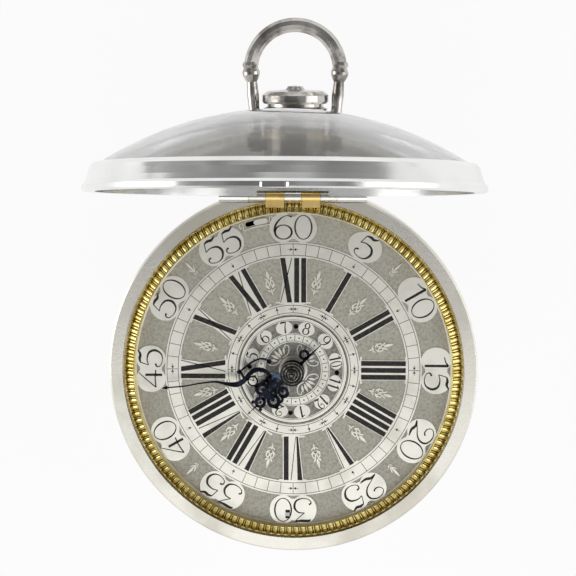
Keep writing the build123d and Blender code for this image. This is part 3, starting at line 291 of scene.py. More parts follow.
# Gilt dial ring
# A gilt brass ring holds the dial plate. Its slope is cut all round with rounded tongues, and two
# fine dark grooves part each tongue from the next. It sits on the ledge of the case.
class Pattern:
    """A mesh in the making, drawn in millimetres."""

    def __init__(self):
        self.mesh = bmesh.new()

    def skin(self, sections, closed=False):
        """Joins cross sections with the same count of points, and caps the ends of an open run."""
        new_point = self.mesh.verts.new
        loops = [[new_point((x * MM, y * MM, z * MM)) for x, y, z in part] for part in sections]
        for place in range(len(loops) if closed else len(loops) - 1):
            here = loops[place]
            ahead = loops[(place + 1) % len(loops)]
            for k in range(len(here)):
                beside = (k + 1) % len(here)
                self.mesh.faces.new((here[k], here[beside], ahead[beside], ahead[k]))
        if not closed:
            self.mesh.faces.new(loops[0][::-1])
            self.mesh.faces.new(loops[-1])

    def made(self, name, shader, body, finish, edge=0.0):
        """Turns the pattern into a piece on its body, with this much rounding on its edges."""
        bmesh.ops.recalc_face_normals(self.mesh, faces=self.mesh.faces)
        shape = bpy.data.meshes.new(name)
        self.mesh.to_mesh(shape)
        self.mesh.free()
        shape.materials.append(shader.material)
        piece = bpy.data.objects.new(name, shape)
        bpy.context.scene.collection.objects.link(piece)
        if edge:
            rounding = piece.modifiers.new("worn edges", "BEVEL")
            rounding.width = edge * MM
            rounding.segments = 2
            rounding.limit_method = "ANGLE"
        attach(piece, body)
        return piece


RING_R = 55.4
RING_INNER_R = 51.7
RING_TOP_Z = 49.2
LEDGE_Z = 45.6
FLANGE_Z = 46.8
DIAL_TOP_Z = 46.3
TONGUES = 144
TONGUE_SHARE = 0.6
GROOVE_SHARE = 0.2
GROOVE_DEPTH = 0.3
GROOVE_ENDS = 3.2
GROOVE_LEAN = 0.6
CROWN_DEPTH = 0.18
SLOPE_INSET = 0.35
SLOPE_SWELL = 0.25
RING_WALL = 1.2
DIAL_GAP = 0.02
STEPS_PER_TONGUE = 20


def tongue_sink(turn):
    """How far the slope lies below the crown of a tongue, at this share of one pitch."""
    off_middle = abs(turn - 0.5) * 2
    if off_middle <= TONGUE_SHARE:
        return CROWN_DEPTH * (off_middle / TONGUE_SHARE) ** 2
    across_groove = min(1.0, (off_middle - TONGUE_SHARE) / GROOVE_SHARE)
    return CROWN_DEPTH + GROOVE_DEPTH * math.sin(math.pi * across_groove)


def ring_section(angle, turn):
    """The ring cut across, from its foot on the ledge over the slope and back under the dial."""
    sink = tongue_sink(turn)
    low_r = RING_R - SLOPE_INSET
    high_r = RING_INNER_R + SLOPE_INSET
    outline = [(RING_R, LEDGE_Z), (RING_R, FLANGE_Z - 0.15), (RING_R - 0.15, FLANGE_Z)]
    for share in (0.03, 0.1, 0.3, 0.5, 0.7, 0.9, 0.97):
        arch = math.sin(math.pi * share)
        depth = sink * min(1.0, arch * GROOVE_ENDS)
        radius = low_r + (high_r - low_r) * share
        height = FLANGE_Z + (RING_TOP_Z - FLANGE_Z) * share
        outline.append((radius - depth * GROOVE_LEAN, height + SLOPE_SWELL * arch - depth))
    outline += [(RING_INNER_R + 0.2, RING_TOP_Z), (RING_INNER_R, RING_TOP_Z - 0.3)]
    outline += [(RING_INNER_R, DIAL_TOP_Z + DIAL_GAP), (RING_R - RING_WALL, DIAL_TOP_Z + DIAL_GAP)]
    outline.append((RING_R - RING_WALL, LEDGE_Z))
    return [(r * math.cos(angle), r * math.sin(angle), z) for r, z in outline]


dial_ring = Pattern()
columns = TONGUES * STEPS_PER_TONGUE
sections = []
for k in range(columns):
    turn = (k % STEPS_PER_TONGUE) / STEPS_PER_TONGUE
    sections.append(ring_section(2 * math.pi * k / columns, turn))
dial_ring.skin(sections, closed=True)

# The same grooves hold brown dirt, which is painted in by the bearing of each point round the ring
RING_GOLD = (0.80, 0.65, 0.25)
RING_GOLD_WORN = (0.58, 0.44, 0.12)
GROOVE_DIRT = (0.09, 0.05, 0.012)
ring_gilding = Shader("ring gilding", {"Metallic": 1.0})
x, y = ring_gilding.axes()[:2]
bearing = ring_gilding.add("ShaderNodeMath", {"operation": "ARCTAN2"}, {0: y, 1: x})
pitch = bearing * (TONGUES / (2 * math.pi)) + 2 * TONGUES
part_way = ring_gilding.add("ShaderNodeMath", {"operation": "FRACT"}, {0: pitch})
off_middle = ring_gilding.add("ShaderNodeMath", {"operation": "ABSOLUTE"}, {0: part_way - 0.5}) * 2
radius = (x * x + y * y) ** 0.5
on_slope = ring_gilding.step(radius, (RING_INNER_R + 0.1) * MM, (RING_INNER_R + 0.3) * MM)
off_flange = 1 - ring_gilding.step(radius, (RING_R - 0.6) * MM, (RING_R - 0.3) * MM)
in_groove = ring_gilding.step(off_middle, TONGUE_SHARE - 0.08, TONGUE_SHARE + 0.04)
between = 1 - ring_gilding.step(off_middle, TONGUE_SHARE + 0.18, TONGUE_SHARE + 0.3)
dirt = in_groove * between * on_slope * off_flange
worn_gold = ring_gilding.step(ring_gilding.noise(5.0, 4.0), 0.4, 0.7)
gold = ring_gilding.blend(worn_gold, RING_GOLD, RING_GOLD_WORN)
ring_gilding.set({"Base Color": ring_gilding.blend(dirt, gold, GROOVE_DIRT)})
ring_gilding.set({"Roughness": 0.24 + dirt * 0.4})
ring_gilding.bump(ring_gilding.noise(0.5, 3.0), 0.02)
ring_piece = dial_ring.made("gilt_dial_ring", ring_gilding, "movement", "gilt")
dress(ring_gilding, "dial_ring")
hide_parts("dial_ring")


# Dial plate
# The dial is one silver plate. Its ground is cut away and matted with a punch, which leaves the
# rings, numeral fields and cartouches standing and polished. It is pinned to the front plate.
GROUND_TOP_Z = 46.22
POLISH_LOW_Z = 46.28
POLISHED = (0.87, 0.85, 0.77)
POLISHED_DULL = (0.76, 0.74, 0.66)
MATTED = (0.56, 0.54, 0.47)
MATTED_DARK = (0.43, 0.415, 0.36)


def champleve(name, matted, matted_dark):
    """Silver that is polished on its raised parts and punched matt below them."""
    shader = Shader(name, {"Metallic": 1.0})
    height = shader.axes()[2]
    raised = shader.step(height, GROUND_TOP_Z * MM, POLISH_LOW_Z * MM)
    darkening = shader.step(shader.noise(8.0, 5.0), 0.42, 0.7)
    punched = shader.noise(0.35, 2.0)
    high = shader.blend(darkening, POLISHED, POLISHED_DULL)
    low = shader.blend(shader.step(shader.noise(0.9, 4.0), 0.35, 0.7), matted, matted_dark)
    shader.set({"Base Color": shader.blend(raised, low, high)})
    shader.set({"Roughness": 0.62 - raised * 0.3 + darkening * 0.05})
    shader.bump(punched * (1 - raised * 0.93), 0.12)
    return shader


dial_silver = champleve("dial silver", MATTED, MATTED_DARK)
dress(dial_silver, "dial_plate")


# Black wax of the dial
# Every numeral, line and mark is engraved and filled with hard black wax, which is stoned flush
# with the polished silver. The hours are thick bars, the rest are fine strokes.
WAX_BLACK = (0.012, 0.011, 0.010)
WAX_WORN = (0.05, 0.045, 0.04)
wax = Shader("black wax", {"Specular IOR Level": 0.35})
wax_worn = wax.step(wax.noise(1.1, 4.0), 0.45, 0.75)
wax.set({"Base Color": wax.blend(wax_worn, WAX_BLACK, WAX_WORN)})
wax.set({"Roughness": 0.42 + wax_worn * 0.2})
wax.bump(wax.noise(0.4, 2.0), 0.02)

WAX_LOW_Z = DIAL_TOP_Z - 0.08
WAX_TOP_Z = DIAL_TOP_Z + 0.015
QUARTER_RING_R = 21.8
MINUTE_TRACK_R = 37.0
NUMERALS = ("XII", "I", "II", "III", "IIII", "V", "VI", "VII", "VIII", "IX", "X", "XI")
BAR = 1.62
WIDE = 3.9
BAR_GAP = 0.66
THIN = 0.28
LETTER_FOOT = QUARTER_RING_R + 0.35
LETTER_HEAD = MINUTE_TRACK_R - 0.3


def at_clock(degrees):
    """Places a drawing whose u runs clockwise and whose v runs outward, at this dial angle."""
    sine = math.sin(math.radians(degrees))
    cosine = math.cos(math.radians(degrees))
    return lambda u, v: (v * sine + u * cosine, v * cosine - u * sine)


def slab(pattern, outline, low, high, place):
    """A flat plate with this outline between two heights."""
    flat = [place(u, v) for u, v in outline]
    pattern.skin([[(x, y, z) for x, y in flat] for z in (low, high)])


def letter_strokes(letter, left):
    """Outlines of one Roman letter whose left side is here, as four corners each."""
    right = left + WIDE
    middle = left + WIDE / 2
    if letter == "I":
        return [(left, left, left + BAR, left + BAR)]
    if letter == "V":
        thick_leg = (middle - 0.45, left, left + BAR, middle + 0.1)
        return [thick_leg, (middle + 0.2, right - THIN, right, middle + 0.4)]
    return [(right - BAR, left, left + BAR, right), (left, right - THIN, right, left + THIN)]


hour_wax = Pattern()
for hour, numeral in enumerate(NUMERALS):
    place = at_clock(30 * hour)
    widths = [BAR if letter == "I" else WIDE for letter in numeral]
    left = -(sum(widths) + BAR_GAP * (len(numeral) - 1)) / 2
    for letter, width in zip(numeral, widths):
        for foot_left, head_left, head_right, foot_right in letter_strokes(letter, left):
            head = [(head_left, LETTER_HEAD), (head_right, LETTER_HEAD)]
            foot = [(foot_right, LETTER_FOOT), (foot_left, LETTER_FOOT)]
            slab(hour_wax, head + foot, WAX_LOW_Z, WAX_TOP_Z, place)
        left += width + BAR_GAP
hour_wax.made("hour_numerals", wax, "movement", "blued_steel")


# The minute numerals are written with smooth strokes that swell from a hair line
STEPS_PER_POINT = 5


def smooth(points, closed=False):
    """A smooth line through points whose last number is the stroke's width there."""
    count = len(points)
    line = []
    for k in range(count if closed else count - 1):
        if closed:
            before, here, ahead, after = [points[(k + shift) % count] for shift in (-1, 0, 1, 2)]
        else:
            here = points[k]
            ahead = points[k + 1]
            before = points[max(k - 1, 0)]
            after = points[min(k + 2, count - 1)]
        for step in range(STEPS_PER_POINT):
            t = step / STEPS_PER_POINT
            bends = (
                -0.5 * t + t * t - 0.5 * t ** 3,
                1 - 2.5 * t * t + 1.5 * t ** 3,
                0.5 * t + 2 * t * t - 1.5 * t ** 3,
                -0.5 * t * t + 0.5 * t ** 3,
            )
            four = (before, here, ahead, after)
            line.append(tuple(sum(b * p[i] for b, p in zip(bends, four)) for i in range(3)))
    if not closed:
        line.append(points[-1])
    return line


def stroke(pattern, line, low, high, place, closed=False):
    """A raised or sunk line with square edges and the width that each of its points gives."""
    sections = []
    for k, (u, v, width) in enumerate(line):
        before = line[k - 1] if closed or k else line[k]
        after = line[(k + 1) % len(line)] if closed or k + 1 < len(line) else line[k]
        along_u = after[0] - before[0]
        along_v = after[1] - before[1]
        length = math.hypot(along_u, along_v)
        side_u = -along_v / length * width / 2
        side_v = along_u / length * width / 2
        left = place(u + side_u, v + side_v)
        right = place(u - side_u, v - side_v)
        sections.append([(*left, low), (*left, high), (*right, high), (*right, low)])
    pattern.skin(sections, closed)


def wax_line(pattern, points, place, closed=False):
    stroke(pattern, smooth(points, closed), WAX_LOW_Z, WAX_TOP_Z, place, closed)


def circle_angles(count):
    return [2 * math.pi * k / count for k in range(count)]


def oval(x, y, half_width, half_height, thin, thick):
    """A closed figure that is thick at its sides, as a quill or graver makes it."""
    points = []
    for angle in circle_angles(12):
        weight = thin + (thick - thin) * math.cos(angle) ** 2
        at = (x + half_width * math.cos(angle), y + half_height * math.sin(angle))
        points.append((*at, weight))
    return points


# Each digit: open strokes and ovals in a box from -0.5 to 0.5 wide and 0 to 1 high, with weights
# from 0 for a hair line to 1 for the thickest part.
OPEN_STROKES = {
    "1": [
        [(0.12, 0.01, 0.9), (0.12, 0.5, 1.0), (0.12, 0.99, 1.0)],
        [(0.12, 0.99, 0.5), (-0.1, 0.87, 0.2), (-0.38, 0.82, 0.0)],
    ],
    "2": [
        [
            (0.06, 0.68, 0.4), (-0.08, 0.60, 0.3), (-0.32, 0.63, 0.1), (-0.44, 0.79, 0.0),
            (-0.26, 0.95, 0.1), (0.08, 0.99, 0.2), (0.40, 0.88, 0.5), (0.48, 0.66, 0.6),
            (0.30, 0.42, 0.3), (-0.08, 0.24, 0.0), (-0.46, 0.06, 0.1),
        ],
        [(-0.46, 0.06, 0.3), (-0.18, 0.13, 1.0), (0.14, 0.06, 1.0), (0.5, 0.10, 0.1)],
    ],
    "3": [
        [(-0.42, 0.90, 0.3), (-0.3, 0.96, 1.0), (0.1, 0.96, 1.0), (0.44, 0.98, 0.3)],
        [(0.44, 0.98, 0.0), (0.2, 0.8, 0.0), (-0.08, 0.62, 0.0)],
        [
            (-0.08, 0.62, 0.0), (0.26, 0.60, 0.3), (0.48, 0.40, 0.8), (0.40, 0.13, 0.6),
            (0.06, 0.01, 0.1), (-0.32, 0.06, 0.0), (-0.44, 0.2, 0.3), (-0.32, 0.27, 0.6),
        ],
    ],
    "4": [
        [(0.22, 0.02, 0.9), (0.22, 0.4, 1.0), (0.22, 0.72, 0.8)],
        [(0.34, 0.99, 0.0), (-0.08, 0.64, 0.1), (-0.48, 0.28, 0.2)],
        [(-0.48, 0.28, 0.3), (0.0, 0.31, 0.2), (0.5, 0.28, 0.2)],
    ],
    "5": [
        [(-0.2, 0.92, 0.3), (0.02, 0.95, 1.0), (0.24, 0.92, 1.0), (0.48, 1.0, 0.1)],
        [(-0.2, 0.92, 0.1), (-0.27, 0.76, 0.0), (-0.34, 0.58, 0.0)],
        [
            (-0.34, 0.58, 0.0), (-0.04, 0.64, 0.2), (0.34, 0.56, 0.7), (0.48, 0.32, 0.9),
            (0.30, 0.07, 0.4), (-0.04, 0.0, 0.0), (-0.38, 0.09, 0.0), (-0.42, 0.24, 0.3),
            (-0.26, 0.29, 0.6),
        ],
    ],
    "6": [
        [
            (-0.46, 0.32, 0.9), (-0.40, 0.60, 0.7), (-0.12, 0.86, 0.3), (0.22, 0.98, 0.0),
            (0.48, 0.92, 0.5),
        ],
    ],
    "7": [
        [(-0.42, 0.84, 0.3), (-0.28, 0.96, 1.0), (0.1, 0.93, 1.0), (0.44, 0.98, 0.3)],
        [(0.44, 0.98, 0.0), (0.16, 0.55, 0.5), (0.04, 0.02, 1.0)],
    ],
    "9": [
        [
            (0.46, 0.68, 0.9), (0.40, 0.40, 0.7), (0.12, 0.14, 0.3), (-0.22, 0.02, 0.0),
            (-0.48, 0.08, 0.5),
        ],
    ],
}
OVALS = {
    "0": [oval(0, 0.5, 0.46, 0.49, 0.0, 0.45)],
    "6": [oval(0.02, 0.30, 0.46, 0.29, 0.1, 0.7)],
    "8": [oval(0, 0.76, 0.34, 0.23, 0.1, 0.7), oval(0, 0.28, 0.45, 0.27, 0.1, 0.8)],
    "9": [oval(-0.02, 0.70, 0.46, 0.29, 0.1, 0.7)],
}


def digit(pattern, figure, centre, width, foot, height, thin, thick, place):
    """Draws one digit in wax, its foot at this radius and its top outward."""
    def sized(points):
        span = thick - thin
        return [(centre + x * width, foot + y * height, thin + w * span) for x, y, w in points]

    for points in OPEN_STROKES.get(figure, []):
        wax_line(pattern, sized(points), place)
    for points in OVALS.get(figure, []):
        wax_line(pattern, sized(points), place, closed=True)


MINUTE_FOOT = 42.75
MINUTE_HEIGHT = 7.9
MINUTE_WIDTH = 5.9
MINUTE_STEP = 3.3
SLIM_STEP = 2.3
MINUTE_HAIR = 0.28
MINUTE_THICK = 0.85
minute_wax = Pattern()
for minutes in range(5, 65, 5):
    figures = str(minutes)
    for k, figure in enumerate(figures):
        step = SLIM_STEP if figure == "1" else MINUTE_STEP
        centre = (2 * k - (len(figures) - 1)) * step
        sizes = (MINUTE_WIDTH, MINUTE_FOOT, MINUTE_HEIGHT, MINUTE_HAIR, MINUTE_THICK)
        digit(minute_wax, figure, centre, *sizes, at_clock(6 * minutes))
minute_wax.made("minute_numerals", wax, "movement", "blued_steel")

# The minute track: two circles, a line for each minute, a small spade at each five
LINE = 0.17
TRACK_CIRCLES = (37.6, 41.3)
SPADE = 1.05


def wax_circle(pattern, radius, width):
    points = [(radius * math.cos(a), radius * math.sin(a), width) for a in circle_angles(120)]
    stroke(pattern, points, WAX_LOW_Z, WAX_TOP_Z, at_clock(0), closed=True)


def spade(pattern, u, v, heading, place):
    """A small arrow head on a short stalk; heading turns it clockwise from outward."""
    turn = at_clock(heading)

    def turned(across, along):
        shift = turn(across, along)
        return place(u + shift[0], v + shift[1])

    head = [(0, SPADE), (0.5 * SPADE, 0.05), (0.12, 0.2), (-0.12, 0.2), (-0.5 * SPADE, 0.05)]
    slab(pattern, head, WAX_LOW_Z, WAX_TOP_Z, turned)
    stalk = [(-0.07, -0.6 * SPADE), (0.07, -0.6 * SPADE), (0.07, 0.3), (-0.07, 0.3)]
    slab(pattern, stalk, WAX_LOW_Z, WAX_TOP_Z, turned)


def wax_mark(pattern, low, high, place):
    outline = [(-LINE / 2, low), (LINE / 2, low), (LINE / 2, high), (-LINE / 2, high)]
    slab(pattern, outline, WAX_LOW_Z, WAX_TOP_Z, place)


track_wax = Pattern()
for track_radius in TRACK_CIRCLES:
    wax_circle(track_wax, track_radius, LINE)
track_middle = sum(TRACK_CIRCLES) / 2
for minute in range(60):
    place = at_clock(6 * minute)
    if minute % 5 or minute % 15 == 0:
        wax_mark(track_wax, *TRACK_CIRCLES, place)
    else:
        spade(track_wax, 0, track_middle + 0.1, 180, place)
    if minute % 15 == 0:
        spade(track_wax, -1.15, track_middle, 90, place)
        spade(track_wax, 1.15, track_middle, -90, place)
track_wax.made("minute_track", wax, "movement", "blued_steel")

# The quarter ring: a line each quarter of an hour, with spades at the hours and half hours
QUARTER_CIRCLES = (18.75, 21.25)
quarter_wax = Pattern()
for quarter_radius in QUARTER_CIRCLES:
    wax_circle(quarter_wax, quarter_radius, LINE)
quarter_middle = sum(QUARTER_CIRCLES) / 2
for half_hour in range(24):
    place = at_clock(15 * half_hour)
    wax_mark(quarter_wax, *QUARTER_CIRCLES, place)
    if half_hour % 2:
        spade(quarter_wax, 0, quarter_middle - 0.1, 0, place)
    else:
        spade(quarter_wax, -1.0, quarter_middle, 90, place)
        spade(quarter_wax, 1.0, quarter_middle, -90, place)
quarter_wax.made("quarter_ring_marks", wax, "movement", "blued_steel")


# Leaf sprays of the dial
# A small spray is left standing in each matted field between the hours, and a slimmer one between
# some of the minute cartouches. The leaves have chased, sloping sides and are left bright.
LEAF_LOW_Z = DIAL_TOP_Z - 0.27
LEAF_TOP_Z = DIAL_TOP_Z + 0.1


def leaf(pattern, root, tip, width, place, fullest=0.5):
    """One leaf from its root to its tip, widest at this share of its length."""
    along_u = tip[0] - root[0]
    along_v = tip[1] - root[1]
    length = math.hypot(along_u, along_v)
    sections = []
    for share in (0.02, 0.14, 0.3, 0.45, 0.6, 0.75, 0.88, 0.98):
        bent = share ** (math.log(0.5) / math.log(fullest))
        swell = math.sin(math.pi * bent)
        half = max(width / 2 * swell, 0.02)
        u = root[0] + along_u * share
        v = root[1] + along_v * share
        side_u = -along_v / length * half
        side_v = along_u / length * half
        corners = [(1, LEAF_LOW_Z), (0.72, LEAF_TOP_Z), (-0.72, LEAF_TOP_Z), (-1, LEAF_LOW_Z)]
        sections.append([(*place(u + side_u * k, v + side_v * k), high) for k, high in corners])
    pattern.skin(sections)


def curl(pattern, points, place, closed=False):
    stroke(pattern, smooth(points, closed), LEAF_LOW_Z, LEAF_TOP_Z - 0.05, place, closed)


sprays = Pattern()
for half_hour in range(12):
    place = at_clock(30 * half_hour + 15)
    leaf(sprays, (0, 30.4), (0, 34.0), 1.3, place, 0.4)
    leaf(sprays, (0, 27.4), (0, 25.2), 0.9, place, 0.3)
    for side in (-1, 1):
        leaf(sprays, (side * 0.2, 30.0), (side * 1.3, 31.6), 0.75, place)
        leaf(sprays, (side * 0.2, 27.6), (side * 1.7, 28.9), 0.75, place)
        leaf(sprays, (side * 0.15, 26.4), (side * 1.25, 27.5), 0.6, place)
        curl(sprays, oval(side * 0.72, 29.3, 0.5, 0.8, 0.36, 0.42), place, closed=True)
SPRAY_ANGLES = (45, 135, 225, 315)
for degrees in SPRAY_ANGLES:
    place = at_clock(degrees)
    leaf(sprays, (0, 44.0), (0, 49.8), 0.95, place, 0.6)
    for side in (-1, 1):
        leaf(sprays, (side * 0.15, 45.2), (side * 1.1, 47.2), 0.6, place)
        leaf(sprays, (side * 0.1, 44.2), (side * 0.8, 45.3), 0.5, place)
leaf_silver = silver("leaf silver", POLISHED, POLISHED_DULL, 0.3, patch=3.0)
sprays.made("leaf_sprays", leaf_silver, "movement", "dial_silver")


# Alarm slider
# A silver tongue slides in a bent slot near 12 to put the alarm out. A frame line with a small
# scroll at each end is left standing round its slot.
SLOT_MIDDLE = -13.95
slot_frame = Pattern()
place = at_clock(SLOT_MIDDLE)
curl(slot_frame, [(-4.9, 48.0, 0.3), (0, 48.25, 0.4), (4.9, 48.0, 0.3)], place)
for side in (-1, 1):
    frame_end = [(side * 4.6, 48.2, 0.3), (side * 4.4, 49.4, 0.25), (side * 4.6, 50.7, 0.3)]
    scroll = [
        (side * 5.0, 48.7, 0.3), (side * 5.6, 49.3, 0.4), (side * 5.5, 50.1, 0.35),
        (side * 5.0, 50.2, 0.3),
    ]
    for points in (frame_end, scroll):
        curl(slot_frame, points, place)
slot_frame.made("slider_frame", leaf_silver, "movement", "dial_silver")
dress(leaf_silver, "alarm_slider")


# Alarm disc
# The disc turns on the hour pipe, friction tight, and has four holes for setting it with a pin. Its
# numerals stand on raised lobes, and its middle is matted and engraved with leaf scrolls.
ALARM_MATTED = (0.40, 0.39, 0.36)
ALARM_MATTED_DARK = (0.24, 0.23, 0.21)
alarm_silver = champleve("alarm disc silver", ALARM_MATTED, ALARM_MATTED_DARK)
dress(alarm_silver, "alarm_disc")

# The figures run clockwise from the first one, left of the 12
ALARM_FIRST_NUMBER = 7
ALARM_FIRST_ANGLE = -12.0
ALARM_FOOT = 12.2
ALARM_HEIGHT = 3.9
ALARM_WIDTH = 2.1
ALARM_SLIM_WIDTH = 1.6
ALARM_STEP = 0.95
ALARM_HAIR = 0.2
ALARM_THICK = 0.55
alarm_wax = Pattern()
for k in range(12):
    figures = str((ALARM_FIRST_NUMBER - 1 + k) % 12 + 1)
    width = ALARM_WIDTH if len(figures) == 1 else ALARM_SLIM_WIDTH
    for index, figure in enumerate(figures):
        centre = (2 * index - (len(figures) - 1)) * ALARM_STEP
        sizes = (width, ALARM_FOOT, ALARM_HEIGHT, ALARM_HAIR, ALARM_THICK)
        digit(alarm_wax, figure, centre, *sizes, at_clock(ALARM_FIRST_ANGLE + 30 * k))

# A ring of cells for the half hours, with a dot in each, and a circle outside the figures
ALARM_CIRCLES = (9.5, 11.7)
ALARM_RIM_CIRCLE = 16.5
ALARM_LINE = 0.13
DOT = 0.26
CELL_START = 3.0
CELL_TURN = 15.0
for alarm_radius in (*ALARM_CIRCLES, ALARM_RIM_CIRCLE):
    wax_circle(alarm_wax, alarm_radius, ALARM_LINE)
cell_middle = sum(ALARM_CIRCLES) / 2
for cell in range(24):
    degrees = CELL_TURN * cell + CELL_START
    wax_mark(alarm_wax, *ALARM_CIRCLES, at_clock(degrees))
    spot = [(DOT * math.sin(a), cell_middle + DOT * math.cos(a)) for a in circle_angles(8)]
    slab(alarm_wax, spot, WAX_LOW_Z, WAX_TOP_Z, at_clock(degrees + CELL_TURN / 2))
alarm_wax.made("alarm_numerals", wax, "alarm_disc", "blued_steel")

scrolls = Pattern()
for k in range(4):
    place = at_clock(45 + 90 * k)
    leaf(scrolls, (0, 5.6), (0, 8.9), 1.3, place, 0.45)
    for side in (-1, 1):
        leaf(scrolls, (side * 0.7, 5.7), (side * 1.7, 8.5), 1.1, place)
        leaf(scrolls, (side * 1.5, 5.5), (side * 3.0, 7.6), 0.9, place)
        points = [
            (side * 0.4, 5.2, 0.3), (side * 2.2, 4.9, 0.35), (side * 3.7, 5.6, 0.35),
            (side * 4.4, 6.8, 0.3), (side * 3.8, 7.6, 0.3), (side * 3.2, 7.0, 0.35),
        ]
        curl(scrolls, points, place)
scrolls.made("alarm_scrolls", leaf_silver, "alarm_disc", "dial_silver")


# Hands
# Both hands are pierced and filed from steel and blued dark. The hour hand is a leafy trefoil, the
# minute hand a slim pointer that grows out of scrolls; a turned boss with a square drives both.
HAND_T = 0.7
HOUR_HAND_Z = 50.0
MINUTE_HAND_Z = 54.0
HOUR_ANGLE = 226.0
MINUTE_ANGLE = 263.5
HUB_R = 3.9
HOUR_HOLE_R = 2.65
MINUTE_HOLE_R = 1.25

BLUE_BLACK = (0.007, 0.008, 0.011)
BLUE_DARK = (0.022, 0.026, 0.042)
BLUE_HIGHLIGHT = (0.07, 0.13, 0.22)
blued = Shader("blued steel", {"Metallic": 1.0})
heat = blued.step(blued.noise(3.0, 4.0), 0.4, 0.7)
x, y, z = blued.axes()
# Painted highlight: the minute hand's neck beside the hub is painted bright blue
beside_hub = 1 - blued.step((x * x + y * y) ** 0.5, (HUB_R + 1.5) * MM, (HUB_R + 3.1) * MM)
on_minute_hand = blued.step(z, (HOUR_HAND_Z + 1.5) * MM, (MINUTE_HAND_Z - 0.5) * MM)
dark_blue = blued.blend(heat, BLUE_BLACK, BLUE_DARK)
blued.set({"Base Color": blued.blend(beside_hub * on_minute_hand, dark_blue, BLUE_HIGHLIGHT)})
blued.set({"Roughness": 0.2 + heat * 0.12})
blued.bump(blued.noise(0.5, 3.0), 0.02)


class Hand(Pattern):
    """A hand that is filed from flat steel and points to this dial angle."""

    def __init__(self, low, degrees, hole_r):
        super().__init__()
        self.low = low
        self.high = low + HAND_T
        self.place = at_clock(degrees)
        self.hub(hole_r)

    def hub(self, hole_r):
        """The flat ring that seats the hand on its pipe."""
        sections = []
        for a in circle_angles(48):
            rim = (HUB_R * math.cos(a), HUB_R * math.sin(a))
            bore = (hole_r * math.cos(a), hole_r * math.sin(a))
            across = [(*rim, self.low), (*rim, self.high), (*bore, self.high), (*bore, self.low)]
            sections.append(across)
        self.skin(sections, closed=True)

    def member(self, points, closed=False):
        """One filed member; each point gives its width."""
        stroke(self, smooth(points, closed), self.low, self.high, self.place, closed)

    def ball(self, u, v, radius):
        outline = [(u + radius * math.cos(a), v + radius * math.sin(a)) for a in circle_angles(16)]
        slab(self, outline, self.low, self.high, self.place)


# The hour hand: a neck, two pairs of knots with leaves between them, a knot with a point, and a tail
hour_hand = Hand(HOUR_HAND_Z, HOUR_ANGLE, HOUR_HOLE_R)
hour_hand.member([(0, 3.5, 2.2), (0, 5.2, 1.4), (0, 6.6, 1.6)])
for side in (-1, 1):
    hour_hand.member(oval(side * 2.75, 6.9, 1.45, 1.35, 0.9, 1.2), closed=True)
    hour_hand.member(oval(side * 2.7, 11.2, 1.75, 1.65, 1.1, 1.4), closed=True)
    hour_hand.member([(side * 0.2, 8.0, 1.0), (side * 1.4, 9.0, 1.0), (side * 2.4, 9.5, 0.8)])
    hour_hand.member([(side * 2.9, 7.9, 0.8), (side * 4.3, 8.7, 0.9), (side * 4.5, 10.0, 0.6)])
    for across, out, radius in ((2.2, 11.0, 0.65), (2.3, 6.8, 0.5), (4.9, 11.9, 0.6), (1.7, 16.2, 0.6)):
        hour_hand.ball(side * across, out, radius)
hour_hand.member(oval(0, 14.6, 1.35, 1.45, 0.9, 1.2), closed=True)
hour_hand.ball(0, 14.6, 0.45)
hour_hand.member([(0, 6.4, 1.1), (0, 10, 0.9), (0, 13.4, 1.2)])
hour_hand.member([(0, 15.8, 1.1), (0, 16.8, 0.6), (0, 18.6, 0.15)])
tail = [(0, -3.5, 1.6), (0, -4.8, 0.9), (0, -7.0, 0.9), (0, -9.6, 0.5), (0, -13.0, 0.15)]
hour_hand.member(tail)
hour_hand.member(oval(1.4, -6.6, 1.3, 1.3, 0.9, 0.9), closed=True)
hour_piece = hour_hand.made("pierced_hour_hand", blued, "hour", "blued_steel", edge=0.14)
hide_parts("hour_hand")

# The minute hand: a neck, the scroll that runs out into the pointer, and a slim scroll beside it
minute_hand = Hand(MINUTE_HAND_Z, MINUTE_ANGLE, MINUTE_HOLE_R)
MINUTE_MEMBERS = [
    [(0, 3.5, 1.4), (-0.1, 5.4, 1.1), (-0.1, 7.6, 1.1)],
    [
        (-2.0, 9.6, 0.7), (-2.9, 8.8, 0.8), (-2.3, 7.5, 0.9), (-0.9, 7.1, 1.0), (0.5, 7.4, 1.1),
        (1.8, 8.5, 1.2), (2.5, 10.3, 1.4), (2.4, 12.2, 1.5), (1.1, 14.0, 1.4), (-0.6, 15.8, 1.6),
        (-1.5, 17.8, 1.7), (-1.4, 19.8, 1.4), (-0.7, 22.4, 0.9), (0.1, 25.5, 0.55),
        (0, 31.2, 0.4), (-0.3, 35.0, 0.4), (-0.2, 40.9, 0.35),
    ],
    [
        (4.8, 6.9, 0.5), (5.6, 7.9, 0.5), (6.0, 9.2, 0.55), (5.8, 10.7, 0.6), (5.1, 12.6, 0.65),
        (3.7, 14.9, 0.6), (2.5, 16.8, 0.5),
    ],
    [(2.7, 16.6, 0.7), (1.4, 16.0, 0.7), (0.2, 15.6, 0.7)],
]
for points in MINUTE_MEMBERS:
    minute_hand.member(points)
ring_in_scroll = oval(-1.0, 12.9, 1.5, 1.5, 0.45, 0.45)
minute_hand.member(ring_in_scroll, closed=True)
minute_hand.member([(-0.5, 14.2, 0.6), (0.3, 15.0, 0.6)])
for u, v, radius in ((2.5, 16.9, 0.75), (4.8, 6.9, 0.75), (-1.9, 9.6, 0.7)):
    minute_hand.ball(u, v, radius)
arrow = [(-0.85, 40.6), (0.45, 40.6), (-0.1, 42.45), (-0.3, 42.45)]
slab(minute_hand, arrow, minute_hand.low + 0.1, minute_hand.high - 0.1, minute_hand.place)
minute_piece = minute_hand.made("scrolled_minute_hand", blued, "minute", "blued_steel", edge=0.12)
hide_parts("minute_hand")

